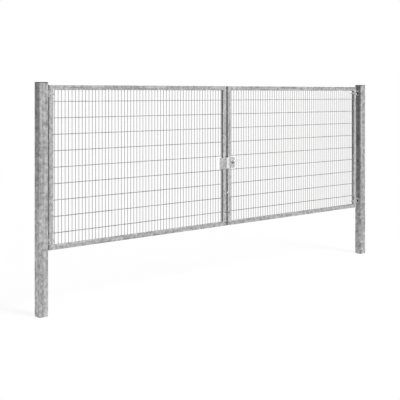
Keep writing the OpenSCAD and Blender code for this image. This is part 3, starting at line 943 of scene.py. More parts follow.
def screw_tree():
    """Socket-head screws or pins: a chamfered head with a hexagon socket, on a shank."""
    tree, given, wanted = builder_tree(
        "Socket Screws",
        [
            ("Head", FLOAT, 0.008), ("Head Height", FLOAT, 0.003), ("Socket", FLOAT, 0.004),
            ("Shank", FLOAT, 0.004), ("Shank Length", FLOAT, 0.003),
        ],
    )
    # Shares of the head's radius and height: its flat face, the socket's depth, and how far
    # the shank reaches into it
    face_share, slope, socket_share, sunk_share, sides = 0.84, 0.9, 0.6, 0.2, 32
    height, length = given["Head Height"], given["Shank Length"]
    radius = times(tree, given["Head"], 0.5)
    head = joined(
        tree, "INTERSECT", cylinder_at(tree, sides, radius, height),
        cone_over(tree, times(tree, radius, face_share), slope, height),
    )
    depth = times(tree, height, socket_share)
    socket = cylinder_at(
        tree, 6, over(tree, given["Socket"], math.sqrt(3)), times(tree, depth, 2.0),
        minus(tree, height, depth),
    )
    shank = cylinder_at(
        tree, sides, times(tree, given["Shank"], 0.5),
        plus(tree, length, times(tree, height, sunk_share)), times(tree, length, -1.0),
    )
    hollow = joined(tree, "DIFFERENCE", head, socket)
    return scatter(tree, given, wanted, joined(tree, "UNION", hollow, shank))


def thread_tree():
    """Threaded rod from each guide point along its direction."""
    tree, given, wanted = builder_tree(
        "Threaded Rod",
        [
            ("Radius", FLOAT, 0.01), ("Length", FLOAT, 0.03), ("Pitch", FLOAT, 0.0025),
            ("Depth", FLOAT, 0.0013),
        ],
    )
    columns, rows_a_turn = 25, 6.0
    rows = times(tree, over(tree, given["Length"], given["Pitch"]), rows_a_turn)
    sheet = output(
        tree, "GeometryNodeMeshGrid",
        {
            "Size X": 1.0, "Size Y": 1.0, "Vertices X": columns,
            "Vertices Y": calc(tree, "ROUND", rows),
        },
    )
    flat = output(tree, "GeometryNodeInputPosition")
    place = node(tree, "ShaderNodeSeparateXYZ", {0: flat}).outputs
    around, up = plus(tree, place[0], 0.5), plus(tree, place[1], 0.5)
    height = times(tree, up, given["Length"])
    turns = minus(tree, over(tree, height, given["Pitch"]), around)
    ridge = calc(
        tree, "ABSOLUTE", calc(tree, "MULTIPLY_ADD", calc(tree, "FRACT", turns), 2.0, -1.0),
    )
    winding = minus(tree, given["Radius"], times(tree, minus(tree, 1.0, ridge), given["Depth"]))
    core = minus(tree, given["Radius"], given["Depth"])
    # The far end is chamfered to the core, and the sheet's first and last rows close the rod
    chamfer = plus(tree, core, minus(tree, given["Length"], height))
    between_ends = calc(tree, "COMPARE", up, 0.5, 0.4999)
    radius = times(tree, calc(tree, "MINIMUM", winding, chamfer), between_ends)
    angle = times(tree, around, 2 * math.pi)
    x, y = (times(tree, calc(tree, wave, angle), radius) for wave in ("COSINE", "SINE"))
    point = output(tree, "ShaderNodeCombineXYZ", {0: x, 1: y, 2: height})
    rolled = output(tree, "GeometryNodeSetPosition", {"Geometry": sheet, "Position": point})
    sealed = output(tree, "GeometryNodeMergeByDistance", {"Geometry": rolled, "Distance": 1e-6})
    return scatter(tree, given, wanted, sealed, twist=0.0)


TREES = {
    "Round Rods": rods_tree, "Weld Bead": bead_tree, "Weld Nuggets": nugget_tree,
    "Weld Collars": collar_tree, "Hexagon Nuts": nut_tree, "Socket Screws": screw_tree,
    "Threaded Rod": thread_tree,
}


def guide_mesh(points, edges=(), thickness=None, directions=None):
    """A mesh of points and edges for a tree to build on."""
    mesh = bpy.data.meshes.new("guide")
    mesh.from_pydata(points, edges, [])
    if thickness:
        mesh.attributes.new("thickness", "FLOAT", "POINT").data.foreach_set("value", thickness)
    if directions:
        flat = [value for direction in directions for value in direction]
        mesh.attributes.new("direction", "FLOAT_VECTOR", "POINT").data.foreach_set("vector", flat)
    return mesh


def sided_guide(side, points, directions=(), **extra):
    """A guide mesh of points and directions of the left half, or mirrored on the right."""
    matrix, factor = side_matrix(side), {"left": 1, "right": -1}[side]
    return guide_mesh(
        [matrix @ Vector(point) for point in points],
        directions=[(factor * d[0], d[1], d[2]) for d in directions], **extra,
    )


def path_edges(paths):
    """Edges along paths of as many points each: one for two points, and a ring for more."""
    count = len(paths[0])
    steps = count if count > 2 else 1
    return [
        (count * k + i, count * k + (i + 1) % count)
        for k in range(len(paths)) for i in range(steps)
    ]


def grow(name, tree_name, guide, body, finish, replaced=(), **sizes):
    """Runs a tree on a guide mesh and keeps the result as a plain mesh piece."""
    tree = bpy.data.node_groups.get(tree_name) or TREES[tree_name]()
    made = new_object(name, guide)
    modifier = made.modifiers.new("Build", "NODES")
    modifier.node_group = tree
    sockets = {
        item.name: item.identifier for item in tree.interface.items_tree if item.in_out == "INPUT"
    }
    modifier[sockets["Finish"]] = finish_named(finish)
    for label, value in sizes.items():
        modifier[sockets[label.replace("_", " ")]] = value
    graph = bpy.context.evaluated_depsgraph_get()
    result = bpy.data.meshes.new_from_object(made.evaluated_get(graph), depsgraph=graph)
    made.modifiers.clear()
    made.data = result
    bpy.data.meshes.remove(guide)
    if not result.polygons:
        raise RuntimeError(f"{name}: its node tree made no faces")
    result.materials.clear()
    result.materials.append(finish_named(finish))
    result.polygons.foreach_set("material_index", [0] * len(result.polygons))
    result.name = name
    shaded(result)
    mounted(made, body, finish, replaced)


# --- the mesh in the leaves ------------------------------------------------------------------

# A level rod that is too near a window by no more than this is still outside it.
LEVEL_PLAY = 1e-6


def window_of(plate, columns, levels, sizes, inner_edge):
    """The window in the mesh beside a plate: its first X, its lower and its upper edge."""
    low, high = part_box(plate)
    width = high.x - low.x + sizes.window_side
    inside = [x for x in columns if inner_edge - x < width]
    side = (columns[len(columns) - len(inside) - 1] + inside[0]) / 2
    below = max(z for z in levels if z <= low.z - sizes.window_over + LEVEL_PLAY)
    above = min(z for z in levels if z >= high.z + sizes.window_over - LEVEL_PLAY)
    reach = sizes.level_d / 2 + sizes.rod_stub
    return side, below + reach, above - reach


def rod_runs(side, sizes):
    """Ends of all the rods of a leaf, measured on the left: (start, end, diameter)."""
    leaf = leaf_facts()
    columns = places(*leaf.inner_x, sizes.edge_x, sizes.pitch_x)
    levels = places(*leaf.inner_z, sizes.edge_z, sizes.pitch_z)
    bolts = hinge_bolts(side)
    washer = ends_of("left_hinge_nuts", 2)[0]
    notch = (washer[1].z - washer[0].z + sizes.bolt_room) / 2
    bolt_end = bolts[0][1].x
    plate = {"left": "left_keeper_plate", "right": "lock_front_plate"}[side]
    window_x, window_low, window_high = window_of(plate, columns, levels, sizes, leaf.inner_x[1])
    runs = []
    for x in columns:
        stops = [leaf.inner_z[0]]
        if x - sizes.upright_d / 2 < bolt_end + sizes.bolt_gap:
            for low, high in bolts:
                middle = (low.z + high.z) / 2
                stops += [middle - notch, middle + notch]
        elif x > window_x:
            stops += [window_low, window_high]
        stops.append(leaf.inner_z[1])
        for low, high in zip(stops[::2], stops[1::2]):
            runs.append(((x, leaf.mid_y, low), (x, leaf.mid_y, high), sizes.upright_d))
    offset = (sizes.upright_d + sizes.level_d) / 2 - sizes.weld_sink
    for z in levels:
        for y in (leaf.mid_y - offset, leaf.mid_y + offset):
            runs.append(((leaf.inner_x[0], y, z), (leaf.inner_x[1], y, z), sizes.level_d))
    return runs, columns, levels


def crossings(columns, levels, sizes):
    """Where the uprights touch the level rods, and the way from one to the other."""
    middle = leaf_facts().mid_y
    contact = (sizes.upright_d - sizes.weld_sink) / 2
    return zip(*[
        ((x, middle + face * contact, z), (0, face, 0))
        for x in columns for z in levels for face in (-1, 1)
    ])


def rod_ends(runs):
    """The ends of rods that stand on the frame, with the way into the opening."""
    leaf = leaf_facts()
    found = []
    for start, end, _ in runs:
        way = (Vector(end) - Vector(start)).normalized()
        axis, faces = (2, leaf.inner_z) if start[0] == end[0] else (0, leaf.inner_x)
        found += [pair for pair in ((start, way), (end, -way)) if pair[0][axis] in faces]
    return zip(*found)


class GATE_OT_mesh(bpy.types.Operator):
    """Fill both leaves with round rods, welded where they cross and where they meet the frame"""

    bl_idname = "gate.mesh"
    bl_label = "Double-rod mesh"

    def execute(self, context):
        sizes = context.scene.gate_mesh
        for side in SIDES:
            body = f"{side}_leaf"
            runs, columns, levels = rod_runs(side, sizes)
            bays = [f"{side}_mesh_{bay}" for bay in range(1, 5)]
            # Uprights get the finish with painted shade, and level rods the one with painted light.
            for label, upright, finish, replaced in (
                ("uprights", True, "galvanised_mesh", bays),
                ("level_rods", False, "galvanised_level", []),
            ):
                rods = [run for run in runs if (run[0][0] == run[1][0]) == upright]
                guide = sided_guide(
                    side, [point for start, end, _ in rods for point in (start, end)],
                    edges=path_edges([run[:2] for run in rods]),
                    thickness=[diameter for *_, diameter in rods for _ in range(2)],
                )
                grow(
                    f"{side}_mesh_{label}", "Round Rods", guide, body, finish, replaced,
                    Sides=sizes.rod_sides,
                )
            collar = {"Width": sizes.collar_w, "Height": sizes.collar_h}
            for label, tree_name, spots, given in (
                ("nuggets", "Weld Nuggets", crossings(columns, levels, sizes),
                 {"Width": sizes.nugget_w}),
                ("collars", "Weld Collars", rod_ends(runs), collar),
            ):
                grow(
                    f"{side}_mesh_{label}", tree_name, sided_guide(side, *spots), body,
                    "galvanised_mesh", Seed=SEEDS[side], **given,
                )
        return {"FINISHED"}


# --- posts, frames and caps ------------------------------------------------------------------


class GATE_OT_frames(bpy.types.Operator):
    """Give the posts and the frame tubes of both leaves their zinc coat"""

    bl_idname = "gate.frames"
    bl_label = "Posts and frame tubes"

    def execute(self, context):
        for side in SIDES:
            for part, finish in (
                ("post", "galvanised_post"), ("hinge_stile", "galvanised_frame"),
                ("meeting_stile", "galvanised_frame"), ("top_rail", "galvanised_rail"),
                ("bottom_rail", "galvanised_rail"),
            ):
                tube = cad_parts[f"{side}_{part}"]
                tube.data.materials.clear()
                tube.data.materials.append(finish_named(finish))
        return {"FINISHED"}


def round_square(half, radius, steps=8):
    """Points of a square with round corners, about the origin."""
    points = []
    for quarter in range(4):
        middle = Matrix.Rotation(quarter * math.pi / 2, 2) @ Vector((half - radius, half - radius))
        for k in range(steps + 1):
            angle = (quarter + k / steps) * math.pi / 2
            points.append(middle + radius * Vector((math.cos(angle), math.sin(angle))))
    return points


def layered(bm, layers, centre):
    """A skin through round squares, each given as half its width, its corners and its height."""
    sweep(bm, [
        [centre + Vector((p.x, p.y, height)) for p in round_square(half, radius)]
        for half, radius, height in layers
    ])


class GATE_OT_caps(bpy.types.Operator):
    """Close the posts with low crowned plastic caps"""

    bl_idname = "gate.caps"
    bl_label = "Post caps"

    # Inset from the edge as a share of the cap's half width, and height as one of its thickness
    CROWN = (
        (0.0, 0.0), (0.0, 0.84), (0.006, 0.89), (0.02, 0.92), (0.2, 0.95), (0.55, 0.98),
        (0.85, 1.0),
    )
    # Radius of the crown's corners, and how far the skirt lies inside the crown's edge
    CORNER, SKIRT_IN = 0.008, 0.0045
    # Radius of the skirt's corners, and the inset, the radius and the height of its tapered foot
    SKIRT_CORNER, TAPER_IN, TAPER_CORNER, TAPER_H = 0.004, 0.003, 0.003, 0.006

    def execute(self, context):
        for side in SIDES:
            low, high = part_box(f"{side}_post_cap")
            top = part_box(f"{side}_post")[1].z
            half, thickness = (high.x - low.x) / 2, high.z - top
            centre = Vector(((low.x + high.x) / 2, (low.y + high.y) / 2, top))
            crown = [
                (half * (1 - inset), self.CORNER * (1 - inset), thickness * rise)
                for inset, rise in self.CROWN
            ]
            inner, foot = half - self.SKIRT_IN, low.z - top
            skirt = [
                (inner - self.TAPER_IN, self.TAPER_CORNER, foot),
                (inner, self.SKIRT_CORNER, foot + self.TAPER_H), (inner, self.SKIRT_CORNER, 0.0),
            ]
            bm = bmesh.new()
            for layers in (crown, skirt):
                layered(bm, layers, centre)
            add_piece(f"{side}_cap", bm, "posts", "black_plastic", [f"{side}_post_cap"])
        return {"FINISHED"}


# --- welds -----------------------------------------------------------------------------------


def corner_beads(leaf, bead):
    """Lines of the mitre welds of the left leaf: over both faces and round the corners."""
    sunk = bead.bead_w / 2 - bead.bead_rise
    fillet = bead.bead_w / 2 - bead.fillet_rise
    front, back = leaf.y[0] + sunk, leaf.y[1] - sunk
    lines = []
    for outer_x, inner_x in zip(leaf.x, leaf.inner_x):
        for outer_z, inner_z in zip(leaf.z, leaf.inner_z):
            way = Vector((inner_x - outer_x, 0, inner_z - outer_z)).normalized()
            outer, inner = Vector((outer_x, 0, outer_z)), Vector((inner_x, 0, inner_z))
            for y in (front, back):
                level = Vector((0, y, 0))
                lines.append((outer + way * 2 * sunk + level, inner - way * sunk + level))
            for corner in (outer + way * (sunk * math.sqrt(2)), inner - way * fillet):
                lines.append((corner + Vector((0, front, 0)), corner + Vector((0, back, 0))))
    return lines


# The bracket welds' distance from the post, as a share of a sunk fillet's, their distance round
# the bracket, and their width as a share of the other beads'
LOOP_OUT, LOOP_ROUND, LOOP_W = 0.4, 0.0004, 0.7


def bracket_loops(bead):
    """Corners of the welds round the hinge brackets of the left post."""
    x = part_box("left_post")[1].x + (bead.bead_w / 2 - bead.fillet_rise) * LOOP_OUT
    loops = []
    for low, high in ends_of("left_hinge_brackets", 2):
        front, back = low.y - LOOP_ROUND, high.y + LOOP_ROUND
        foot, top = low.z - LOOP_ROUND, high.z + LOOP_ROUND
        loops.append([(x, front, foot), (x, back, foot), (x, back, top), (x, front, top)])
    return loops


class GATE_OT_welds(bpy.types.Operator):
    """Lay the weld beads of the frames' mitres and of the hinge brackets"""

    bl_idname = "gate.welds"
    bl_label = "Weld beads"

    def execute(self, context):
        bead = context.scene.gate_welds
        lines, loops = corner_beads(leaf_facts(), bead), bracket_loops(bead)
        for side in SIDES:
            for label, body, finish, paths, width in (
                ("mitre", f"{side}_leaf", "galvanised_frame", lines, bead.bead_w),
                ("bracket", "posts", "galvanised_hardware", loops, bead.bead_w * LOOP_W),
            ):
                points = [point for path in paths for point in path]
                grow(
                    f"{side}_{label}_welds", "Weld Bead",
                    sided_guide(side, points, edges=path_edges(paths)), body, finish,
                    Width=width, Ripple=bead.ripple, Seed=bead.seed,
                )
        return {"FINISHED"}


# --- hinges ----------------------------------------------------------------------------------

# Widths of a screw's hexagon socket and of its shank as shares of its head
SOCKET_SHARE, SHANK_SHARE = 0.5, 0.5
# How far a hinge bolt's plain shank, and its thin nut, reach into the eye
SHANK_IN, THIN_NUT_IN = 0.004, 0.002
# Chamfer of a washer's rim as a share of its thickness
WASHER_EDGE = 0.2


def eye_and_shank(bm, box, leaf, sizes):
    """An eye with its bore, and the plain part of the hinge bolt as far as inside the leaf."""
    low, high = box
    radius = (high.y - low.y) / 2
    pin_centre = Vector((low.x + radius, leaf.mid_y, low.z))
    height, bore, chamfer = high.z - low.z, sizes.pin_d / 2, sizes.chamfer
    lathe(
        bm,
        [
            (bore, chamfer / 2), (bore + chamfer / 2, 0), (radius - chamfer, 0), (radius, chamfer),
            (radius, height - chamfer), (radius - chamfer, height),
            (bore + chamfer / 2, height), (bore, height - chamfer / 2),
        ],
        Matrix.Translation(pin_centre), steps=48, closed=True,
    )
    middle = Vector((0, leaf.mid_y, (low.z + high.z) / 2))
    start = middle + X_AXIS * (low.x + 2 * radius - SHANK_IN)
    end = middle + X_AXIS * (leaf.inner_x[0] + sizes.washer_t)
    chamfered_bar(bm, start, end, sizes.bolt_d, sizes.chamfer / 3)


class GATE_OT_hinges(bpy.types.Operator):
    """Build the brackets with black liners that paint their pockets' shade, and the pins, eye
    bolts, washers and nuts of the four hinges
    """

    bl_idname = "gate.hinges"
    bl_label = "Hinges"

    def execute(self, context):
        sizes = context.scene.gate_fittings
        leaf = leaf_facts()
        for side in SIDES:
            eyes = hinge_bolts(side)
            centres = [Vector((0, leaf.mid_y, (low.z + high.z) / 2)) for low, high in eyes]
            add_softened(
                f"{side}_brackets", f"{side}_hinge_brackets", sizes.bracket_edge, "posts",
                "galvanised_hardware",
            )
            self.pins(side, sizes)
            bm = bmesh.new()
            for box in eyes:
                eye_and_shank(bm, box, leaf, sizes)
            add_piece(
                f"{side}_hinge_eyes", placed(bm, side_matrix(side)), f"{side}_leaf",
                "galvanised_hardware", [f"{side}_eye_bolts"],
            )
            self.threads(side, centres, leaf, eyes[0][1].x, sizes)
            self.washers(side, centres, leaf, sizes)
            self.nuts(side, centres, leaf, sizes)
            # Black liners in the brackets paint the shade of their pockets.
            self.liners(side, eyes, sizes)
        return {"FINISHED"}

    def guide_at(self, side, centres, x):
        """A guide with a point on each hinge bolt's axis, facing the gap between the leaves."""
        points = [centre + X_AXIS * x for centre in centres]
        return sided_guide(side, points, [X_AXIS] * len(points))

    def liners(self, side, eyes, sizes):
        """Black plastic sheets on the back plates of the brackets, between their ears: painted
        shade that darkens the shaded pockets.
        """
        bm = bmesh.new()
        for (low, high), (eye_low, eye_high) in zip(ends_of("left_hinge_brackets", 2), eyes):
            start = low.x + sizes.bracket_t
            rounded_block(
                bm, Vector((start, low.y + sizes.shade_liner_in, eye_low.z)),
                Vector((start + sizes.shade_liner_t, high.y - sizes.shade_liner_in, eye_high.z)), sizes.edge,
            )
        add_piece(f"{side}_liners", placed(bm, side_matrix(side)), "posts", "black_plastic")

    def pins(self, side, sizes):
        """Hinge pins, their heads on the upper ears."""
        pins = ends_of("left_hinge_pins", 2)
        tops = [
            Vector(((low.x + high.x) / 2, (low.y + high.y) / 2, high.z - sizes.pin_head_h))
            for low, high in pins
        ]
        head = pins[0][1].x - pins[0][0].x
        length = pins[0][1].z - pins[0][0].z - sizes.pin_head_h
        guide = sided_guide(side, tops, [Z_AXIS] * len(tops))
        grow(
            f"{side}_pins", "Socket Screws", guide, "posts", "galvanised_hardware",
            [f"{side}_hinge_pins"], Head=head, Head_Height=sizes.pin_head_h,
            Socket=head * SOCKET_SHARE, Shank=sizes.pin_d, Shank_Length=length,
        )

    def threads(self, side, centres, leaf, bolt_end, sizes):
        """The threaded ends of the hinge bolts, inside the leaf."""
        start = leaf.inner_x[0] + sizes.washer_t / 2
        grow(
            f"{side}_bolt_threads", "Threaded Rod", self.guide_at(side, centres, start),
            f"{side}_leaf", "galvanised_hardware", Radius=sizes.bolt_d / 2,
            Length=bolt_end - start, Pitch=sizes.thread_pitch, Depth=sizes.thread_depth,
        )

    def washers(self, side, centres, leaf, sizes):
        """A washer inside the leaf at each hinge."""
        low, high = ends_of("left_hinge_nuts", 2)[0]
        radius, bore, height = (high.z - low.z) / 2, sizes.bolt_d / 2, sizes.washer_t
        edge = height * WASHER_EDGE
        bm = bmesh.new()
        for centre in centres:
            lathe(
                bm,
                [
                    (bore, 0), (radius, 0), (radius, height - edge), (radius - edge, height),
                    (bore, height),
                ],
                along(centre + X_AXIS * leaf.inner_x[0], X_AXIS), closed=True,
            )
        add_piece(
            f"{side}_washers", placed(bm, side_matrix(side)), f"{side}_leaf", "galvanised_hardware",
        )

    def nuts(self, side, centres, leaf, sizes):
        """A nut inside the leaf and a thin nut outside it, at each hinge."""
        nut_end = ends_of("left_hinge_nuts", 2)[0][1].x
        low, high = ends_of("left_eye_bolts", 2)[0]
        for label, start, end, replaced in (
            ("nuts", leaf.inner_x[0] + sizes.washer_t, nut_end, [f"{side}_hinge_nuts"]),
            ("thin_nuts", low.x + (high.y - low.y) - THIN_NUT_IN, leaf.x[0], []),
        ):
            grow(
                f"{side}_{label}", "Hexagon Nuts", self.guide_at(side, centres, start),
                f"{side}_leaf", "galvanised_hardware", replaced, Flats=sizes.nut_flats,
                Height=end - start,
            )


# --- lock, keeper and lever ------------------------------------------------------------------

# Heights of the heads of the screws in the plates, in the keeper's stile and in the cover strip
PLATE_SCREW_H, STILE_SCREW_H, STRIP_SCREW_H = 0.0022, 0.0012, 0.0018


def screws(name, points, directions, body, finish, head, height):
    """Small socket-head screws on a surface."""
    grow(
        name, "Socket Screws", guide_mesh(points, directions=directions), body, finish, Head=head,
        Head_Height=height, Socket=head * SOCKET_SHARE, Shank=head * SHANK_SHARE,
        Shank_Length=height,
    )


def corner_places(low, high, inset, y):
    """Four places at a plate's corners."""
    return [
        Vector((x, y, z))
        for x in (low.x + inset, high.x - inset) for z in (low.z + inset, high.z - inset)
    ]


class GATE_OT_keeper(bpy.types.Operator):
    """Build the keeper on the passive leaf with its screws"""

    bl_idname = "gate.keeper"
    bl_label = "Keeper"

    # The plate screws' inset over the lock's, and the number of screws in the stile
    INSET_SHARE, STILE_SCREWS = 1.4, 4

    def execute(self, context):
        sizes = context.scene.gate_fittings
        for part in ("plate", "box"):
            add_softened(
                f"keeper_{part}", f"left_keeper_{part}", sizes.edge, "left_leaf",
                "galvanised_hardware",
            )
        low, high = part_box("left_keeper_plate")
        points = corner_places(low, high, sizes.screw_inset * self.INSET_SHARE, low.y)
        screws(
            "keeper_screws", points, [-Y_AXIS] * 4, "left_leaf", "galvanised_hardware",
            sizes.screw_d, PLATE_SCREW_H,
        )
        x = leaf_facts().x[1] - sizes.stile_screw_in
        box_low, box_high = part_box("left_keeper_box")
        pitch = (box_high.z - box_low.z) / (self.STILE_SCREWS + 1)
        points = [
            Vector((x, low.y, box_low.z + pitch * (i + 1))) for i in range(self.STILE_SCREWS)
        ]
        screws(
            "stile_screws", points, [-Y_AXIS] * self.STILE_SCREWS, "left_leaf", "black_plastic",
            sizes.stile_screw_d, STILE_SCREW_H,
        )
        return {"FINISHED"}


def key_outline(low, high, steps=24):
    """The outline of a key cylinder that fills a box: a round top with a narrower tail."""
    radius, centre = (high.x - low.x) / 2, (low.x + high.x) / 2
    # A euro cylinder is 17 mm wide at its top and 10 mm at its tail
    tail = radius * 10 / 17
    top, foot = high.z - radius, low.z + tail
    meet = math.asin(tail / radius)
    points = []
    for arm, height, start, turned, count in (
        (radius, top, -math.pi / 2 + meet, 2 * math.pi - 2 * meet, steps),
        (tail, foot, math.pi, math.pi, steps // 2),
    ):
        for k in range(count + 1):
            angle = start + turned * k / count
            points.append((centre + arm * math.cos(angle), height + arm * math.sin(angle)))
    return points, Vector((centre, 0, top))


class GATE_OT_lock(bpy.types.Operator):
    """Build the lock's case and plates, cover strip, a black buffer that paints the gap's shade,
    roses and key cylinder
    """

    bl_idname = "gate.lock"
    bl_label = "Lock"

    # Places of the cover strip's screws as shares of its height, and their width over the others'
    STRIP_SCREWS, STRIP_SHARE = (0.12, 0.5, 0.88), 0.9
    # Radius and height of a rose's steps, as shares of its own radius and thickness
    ROSE = (
        (0, 0), (1, 0), (1, 0.45), (0.96, 0.68), (0.86, 0.8), (0.58, 0.84), (0.55, 1), (0, 1),
    )
    # The groove round the key plug: its depth, the tool's length and its width
    GROOVE_DEPTH, GROOVE_TOOL, GROOVE_W = 0.0012, 0.003, 0.0006
    # The key slot's width, the depth of its tool, half of it inside, and its height
    KEY_SLOT = (0.0022, 0.008, 0.009)

    def execute(self, context):
        sizes = context.scene.gate_fittings
        for name, finish in (
            ("lock_front_plate", "galvanised_hardware"), ("lock_back_plate", "galvanised_hardware"),
            ("lock_case", "galvanised_hardware"), ("lock_cover_strip", "stainless"),
        ):
            add_softened(f"{name}_finished", name, sizes.edge, "right_leaf", finish)
        points, directions = [], []
        for name, way in (("lock_front_plate", -Y_AXIS), ("lock_back_plate", Y_AXIS)):
            low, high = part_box(name)
            y = low.y if way.y < 0 else high.y
            points += corner_places(low, high, sizes.screw_inset, y)
            directions += [way] * 4
        screws(
            "lock_screws", points, directions, "right_leaf", "galvanised_hardware", sizes.screw_d,
            PLATE_SCREW_H,
        )
        low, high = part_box("lock_cover_strip")
        x = (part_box("right_meeting_stile")[0].x + high.x) / 2
        points = [Vector((x, low.y, low.z + (high.z - low.z) * rise)) for rise in self.STRIP_SCREWS]
        screws(
            "strip_screws", points, [-Y_AXIS] * len(points), "right_leaf", "stainless",
            sizes.screw_d * self.STRIP_SHARE, STRIP_SCREW_H,
        )
        # The black buffer paints the shade in the gap over the cover strip.
        self.buffer(high.z, sizes)
        self.roses()
        self.cylinder(sizes)
        return {"FINISHED"}

    def buffer(self, foot, sizes):
        """The black rubber buffer over the cover strip, on the right leaf's meeting stile: a real
        stop, and painted shade in the gap.
        """
        low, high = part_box("right_meeting_stile")
        bm = bmesh.new()
        rounded_block(
            bm, Vector((low.x - sizes.shade_buffer_t, low.y + sizes.edge, foot + sizes.edge)),
            Vector((low.x, high.y - sizes.edge, foot + sizes.shade_buffer_h)), sizes.edge * 2,
        )
        add_piece("buffer", bm, "right_leaf", "black_plastic")

    def roses(self):
        """Round roses with a raised collar under the levers."""
        bm = bmesh.new()
        for (low, high), way in zip(ends_of("lock_roses", 1), (-1, 1)):
            radius, thickness = (high.x - low.x) / 2, high.y - low.y
            base = high.y if way < 0 else low.y
            centre = Vector(((low.x + high.x) / 2, base, (low.z + high.z) / 2))
            profile = [(radius * across, thickness * up) for across, up in self.ROSE]
            lathe(bm, profile, along(centre, Y_AXIS * way), steps=64)
        add_piece("roses", bm, "right_leaf", "stainless", ["lock_roses"])

    def cylinder(self, sizes):
        """The key cylinder, with a turning plug and a key slot at both ends."""
        low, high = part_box("lock_cylinder")
        outline, centre = key_outline(low, high)
        points = [Vector((x, 0, z)) for x, z in outline]
        middle = sum(points, Vector()) / len(points)
        edge = sizes.edge / 2
        bm = bmesh.new()
        sweep(bm, [
            [p - (p - middle).normalized() * inset + Vector((0, y, 0)) for p in points]
            for y, inset in (
                (low.y, edge), (low.y + edge, 0.0), (high.y - edge, 0.0), (high.y, edge),
            )
        ])
        outer, length = sizes.key_d / 2, self.GROOVE_TOOL
        inner = outer - self.GROOVE_W
        for face, way in ((low.y, -1), (high.y, 1)):
            start = centre + Vector((0, face - way * self.GROOVE_DEPTH, 0))
            groove = bmesh.new()
            lathe(
                groove, [(outer, 0), (outer, length), (inner, length), (inner, 0)],
                along(start, Y_AXIS * way), steps=48, closed=True,
            )
            bm = cut(bm, groove)
            slot = bmesh.new()
            bmesh.ops.create_cube(slot, size=1.0)
            slot.transform(
                Matrix.Translation(centre + Vector((0, face, 0)))
                @ Matrix.Diagonal((*self.KEY_SLOT, 1)),
            )
            bm = cut(bm, slot)
        add_piece("key_cylinder", bm, "right_leaf", "stainless", ["lock_cylinder"])


def ellipse_ring(centre, across, up, half_width, half_height, steps=24):
    """Points of an ellipse about a centre."""
    angles = [2 * math.pi * k / steps for k in range(steps)]
    return [
        centre + across * (half_width * math.cos(a)) + up * (half_height * math.sin(a))
        for a in angles
    ]


# How far a lever's neck stands straight out of its rose, the steps of its bend, and half the
# grip's width and height where the bend ends, as shares of its thickness
NECK_OUT, BEND_STEPS, GRIP_HALF = 0.004, 8, (0.42, 0.5)
# Share of the way to the grip's tip, and its width and height there as shares of its thickness
GRIP = (
    (0.3, 0.84, 0.92), (0.6, 0.8, 0.9), (0.85, 0.84, 1.0), (0.94, 0.8, 0.98), (0.975, 0.66, 0.86),
    (0.993, 0.42, 0.6), (1.0, 0.18, 0.3),
)


def lever_rings(axis, face, grip_y, tip_x, thick, sizes):
    """Rings of one lever: straight out of its rose, round a bend and along the grip to its tip."""
    way = 1 if grip_y > face else -1
    bend, neck = sizes.grip_bend, sizes.neck_d / 2
    rings = []
    for y in (axis.y, face, face + way * NECK_OUT):
        rings.append(ellipse_ring(Vector((axis.x, y, axis.z)), X_AXIS, Z_AXIS, neck, neck))
    for k in range(BEND_STEPS + 1):
        angle = math.pi / 2 * k / BEND_STEPS
        centre = Vector((
            axis.x + bend * (1 - math.cos(angle)), grip_y - way * bend * (1 - math.sin(angle)),
            axis.z,
        ))
        across = X_AXIS * math.cos(angle) - Y_AXIS * way * math.sin(angle)
        halves = (neck + (thick * half - neck) * (k / BEND_STEPS) for half in GRIP_HALF)
        rings.append(ellipse_ring(centre, across, Z_AXIS, *halves))
    start = axis.x + bend
    for reach, width, height in GRIP:
        centre = Vector((start + (tip_x - start) * reach, grip_y, axis.z))
        halves = (thick / 2 * width, thick / 2 * height)
        rings.append(ellipse_ring(centre, -Y_AXIS * way, Z_AXIS, *halves))
    return rings


class GATE_OT_lever(bpy.types.Operator):
    """Build the two levers on their common shaft"""

    bl_idname = "gate.lever"
    bl_label = "Levers"

    def execute(self, context):
        sizes = context.scene.gate_fittings
        low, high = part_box("lever_handles")
        thick = high.z - low.z
        rose_low, rose_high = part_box("lock_roses")
        axis = Vector((
            (rose_low.x + rose_high.x) / 2, leaf_facts().mid_y, (rose_low.z + rose_high.z) / 2,
        ))
        bm = bmesh.new()
        for face, grip_y in ((rose_low.y, low.y + thick / 2), (rose_high.y, high.y - thick / 2)):
            sweep(bm, lever_rings(axis, face, grip_y, high.x, thick, sizes))
        add_piece("levers", bm, "lever", "stainless", ["lever_handles"])
        return {"FINISHED"}


# --- drop bolts ------------------------------------------------------------------------------


def tube_rings(path, diameter):
    """Rings of a round bar along points that lie in one level plane."""
    rings = []
    for i, point in enumerate(path):
        way = (path[min(i + 1, len(path) - 1)] - path[max(i - 1, 0)]).normalized()
        rings.append(ellipse_ring(point, way.cross(Z_AXIS), Z_AXIS, diameter / 2, diameter / 2))
    return rings


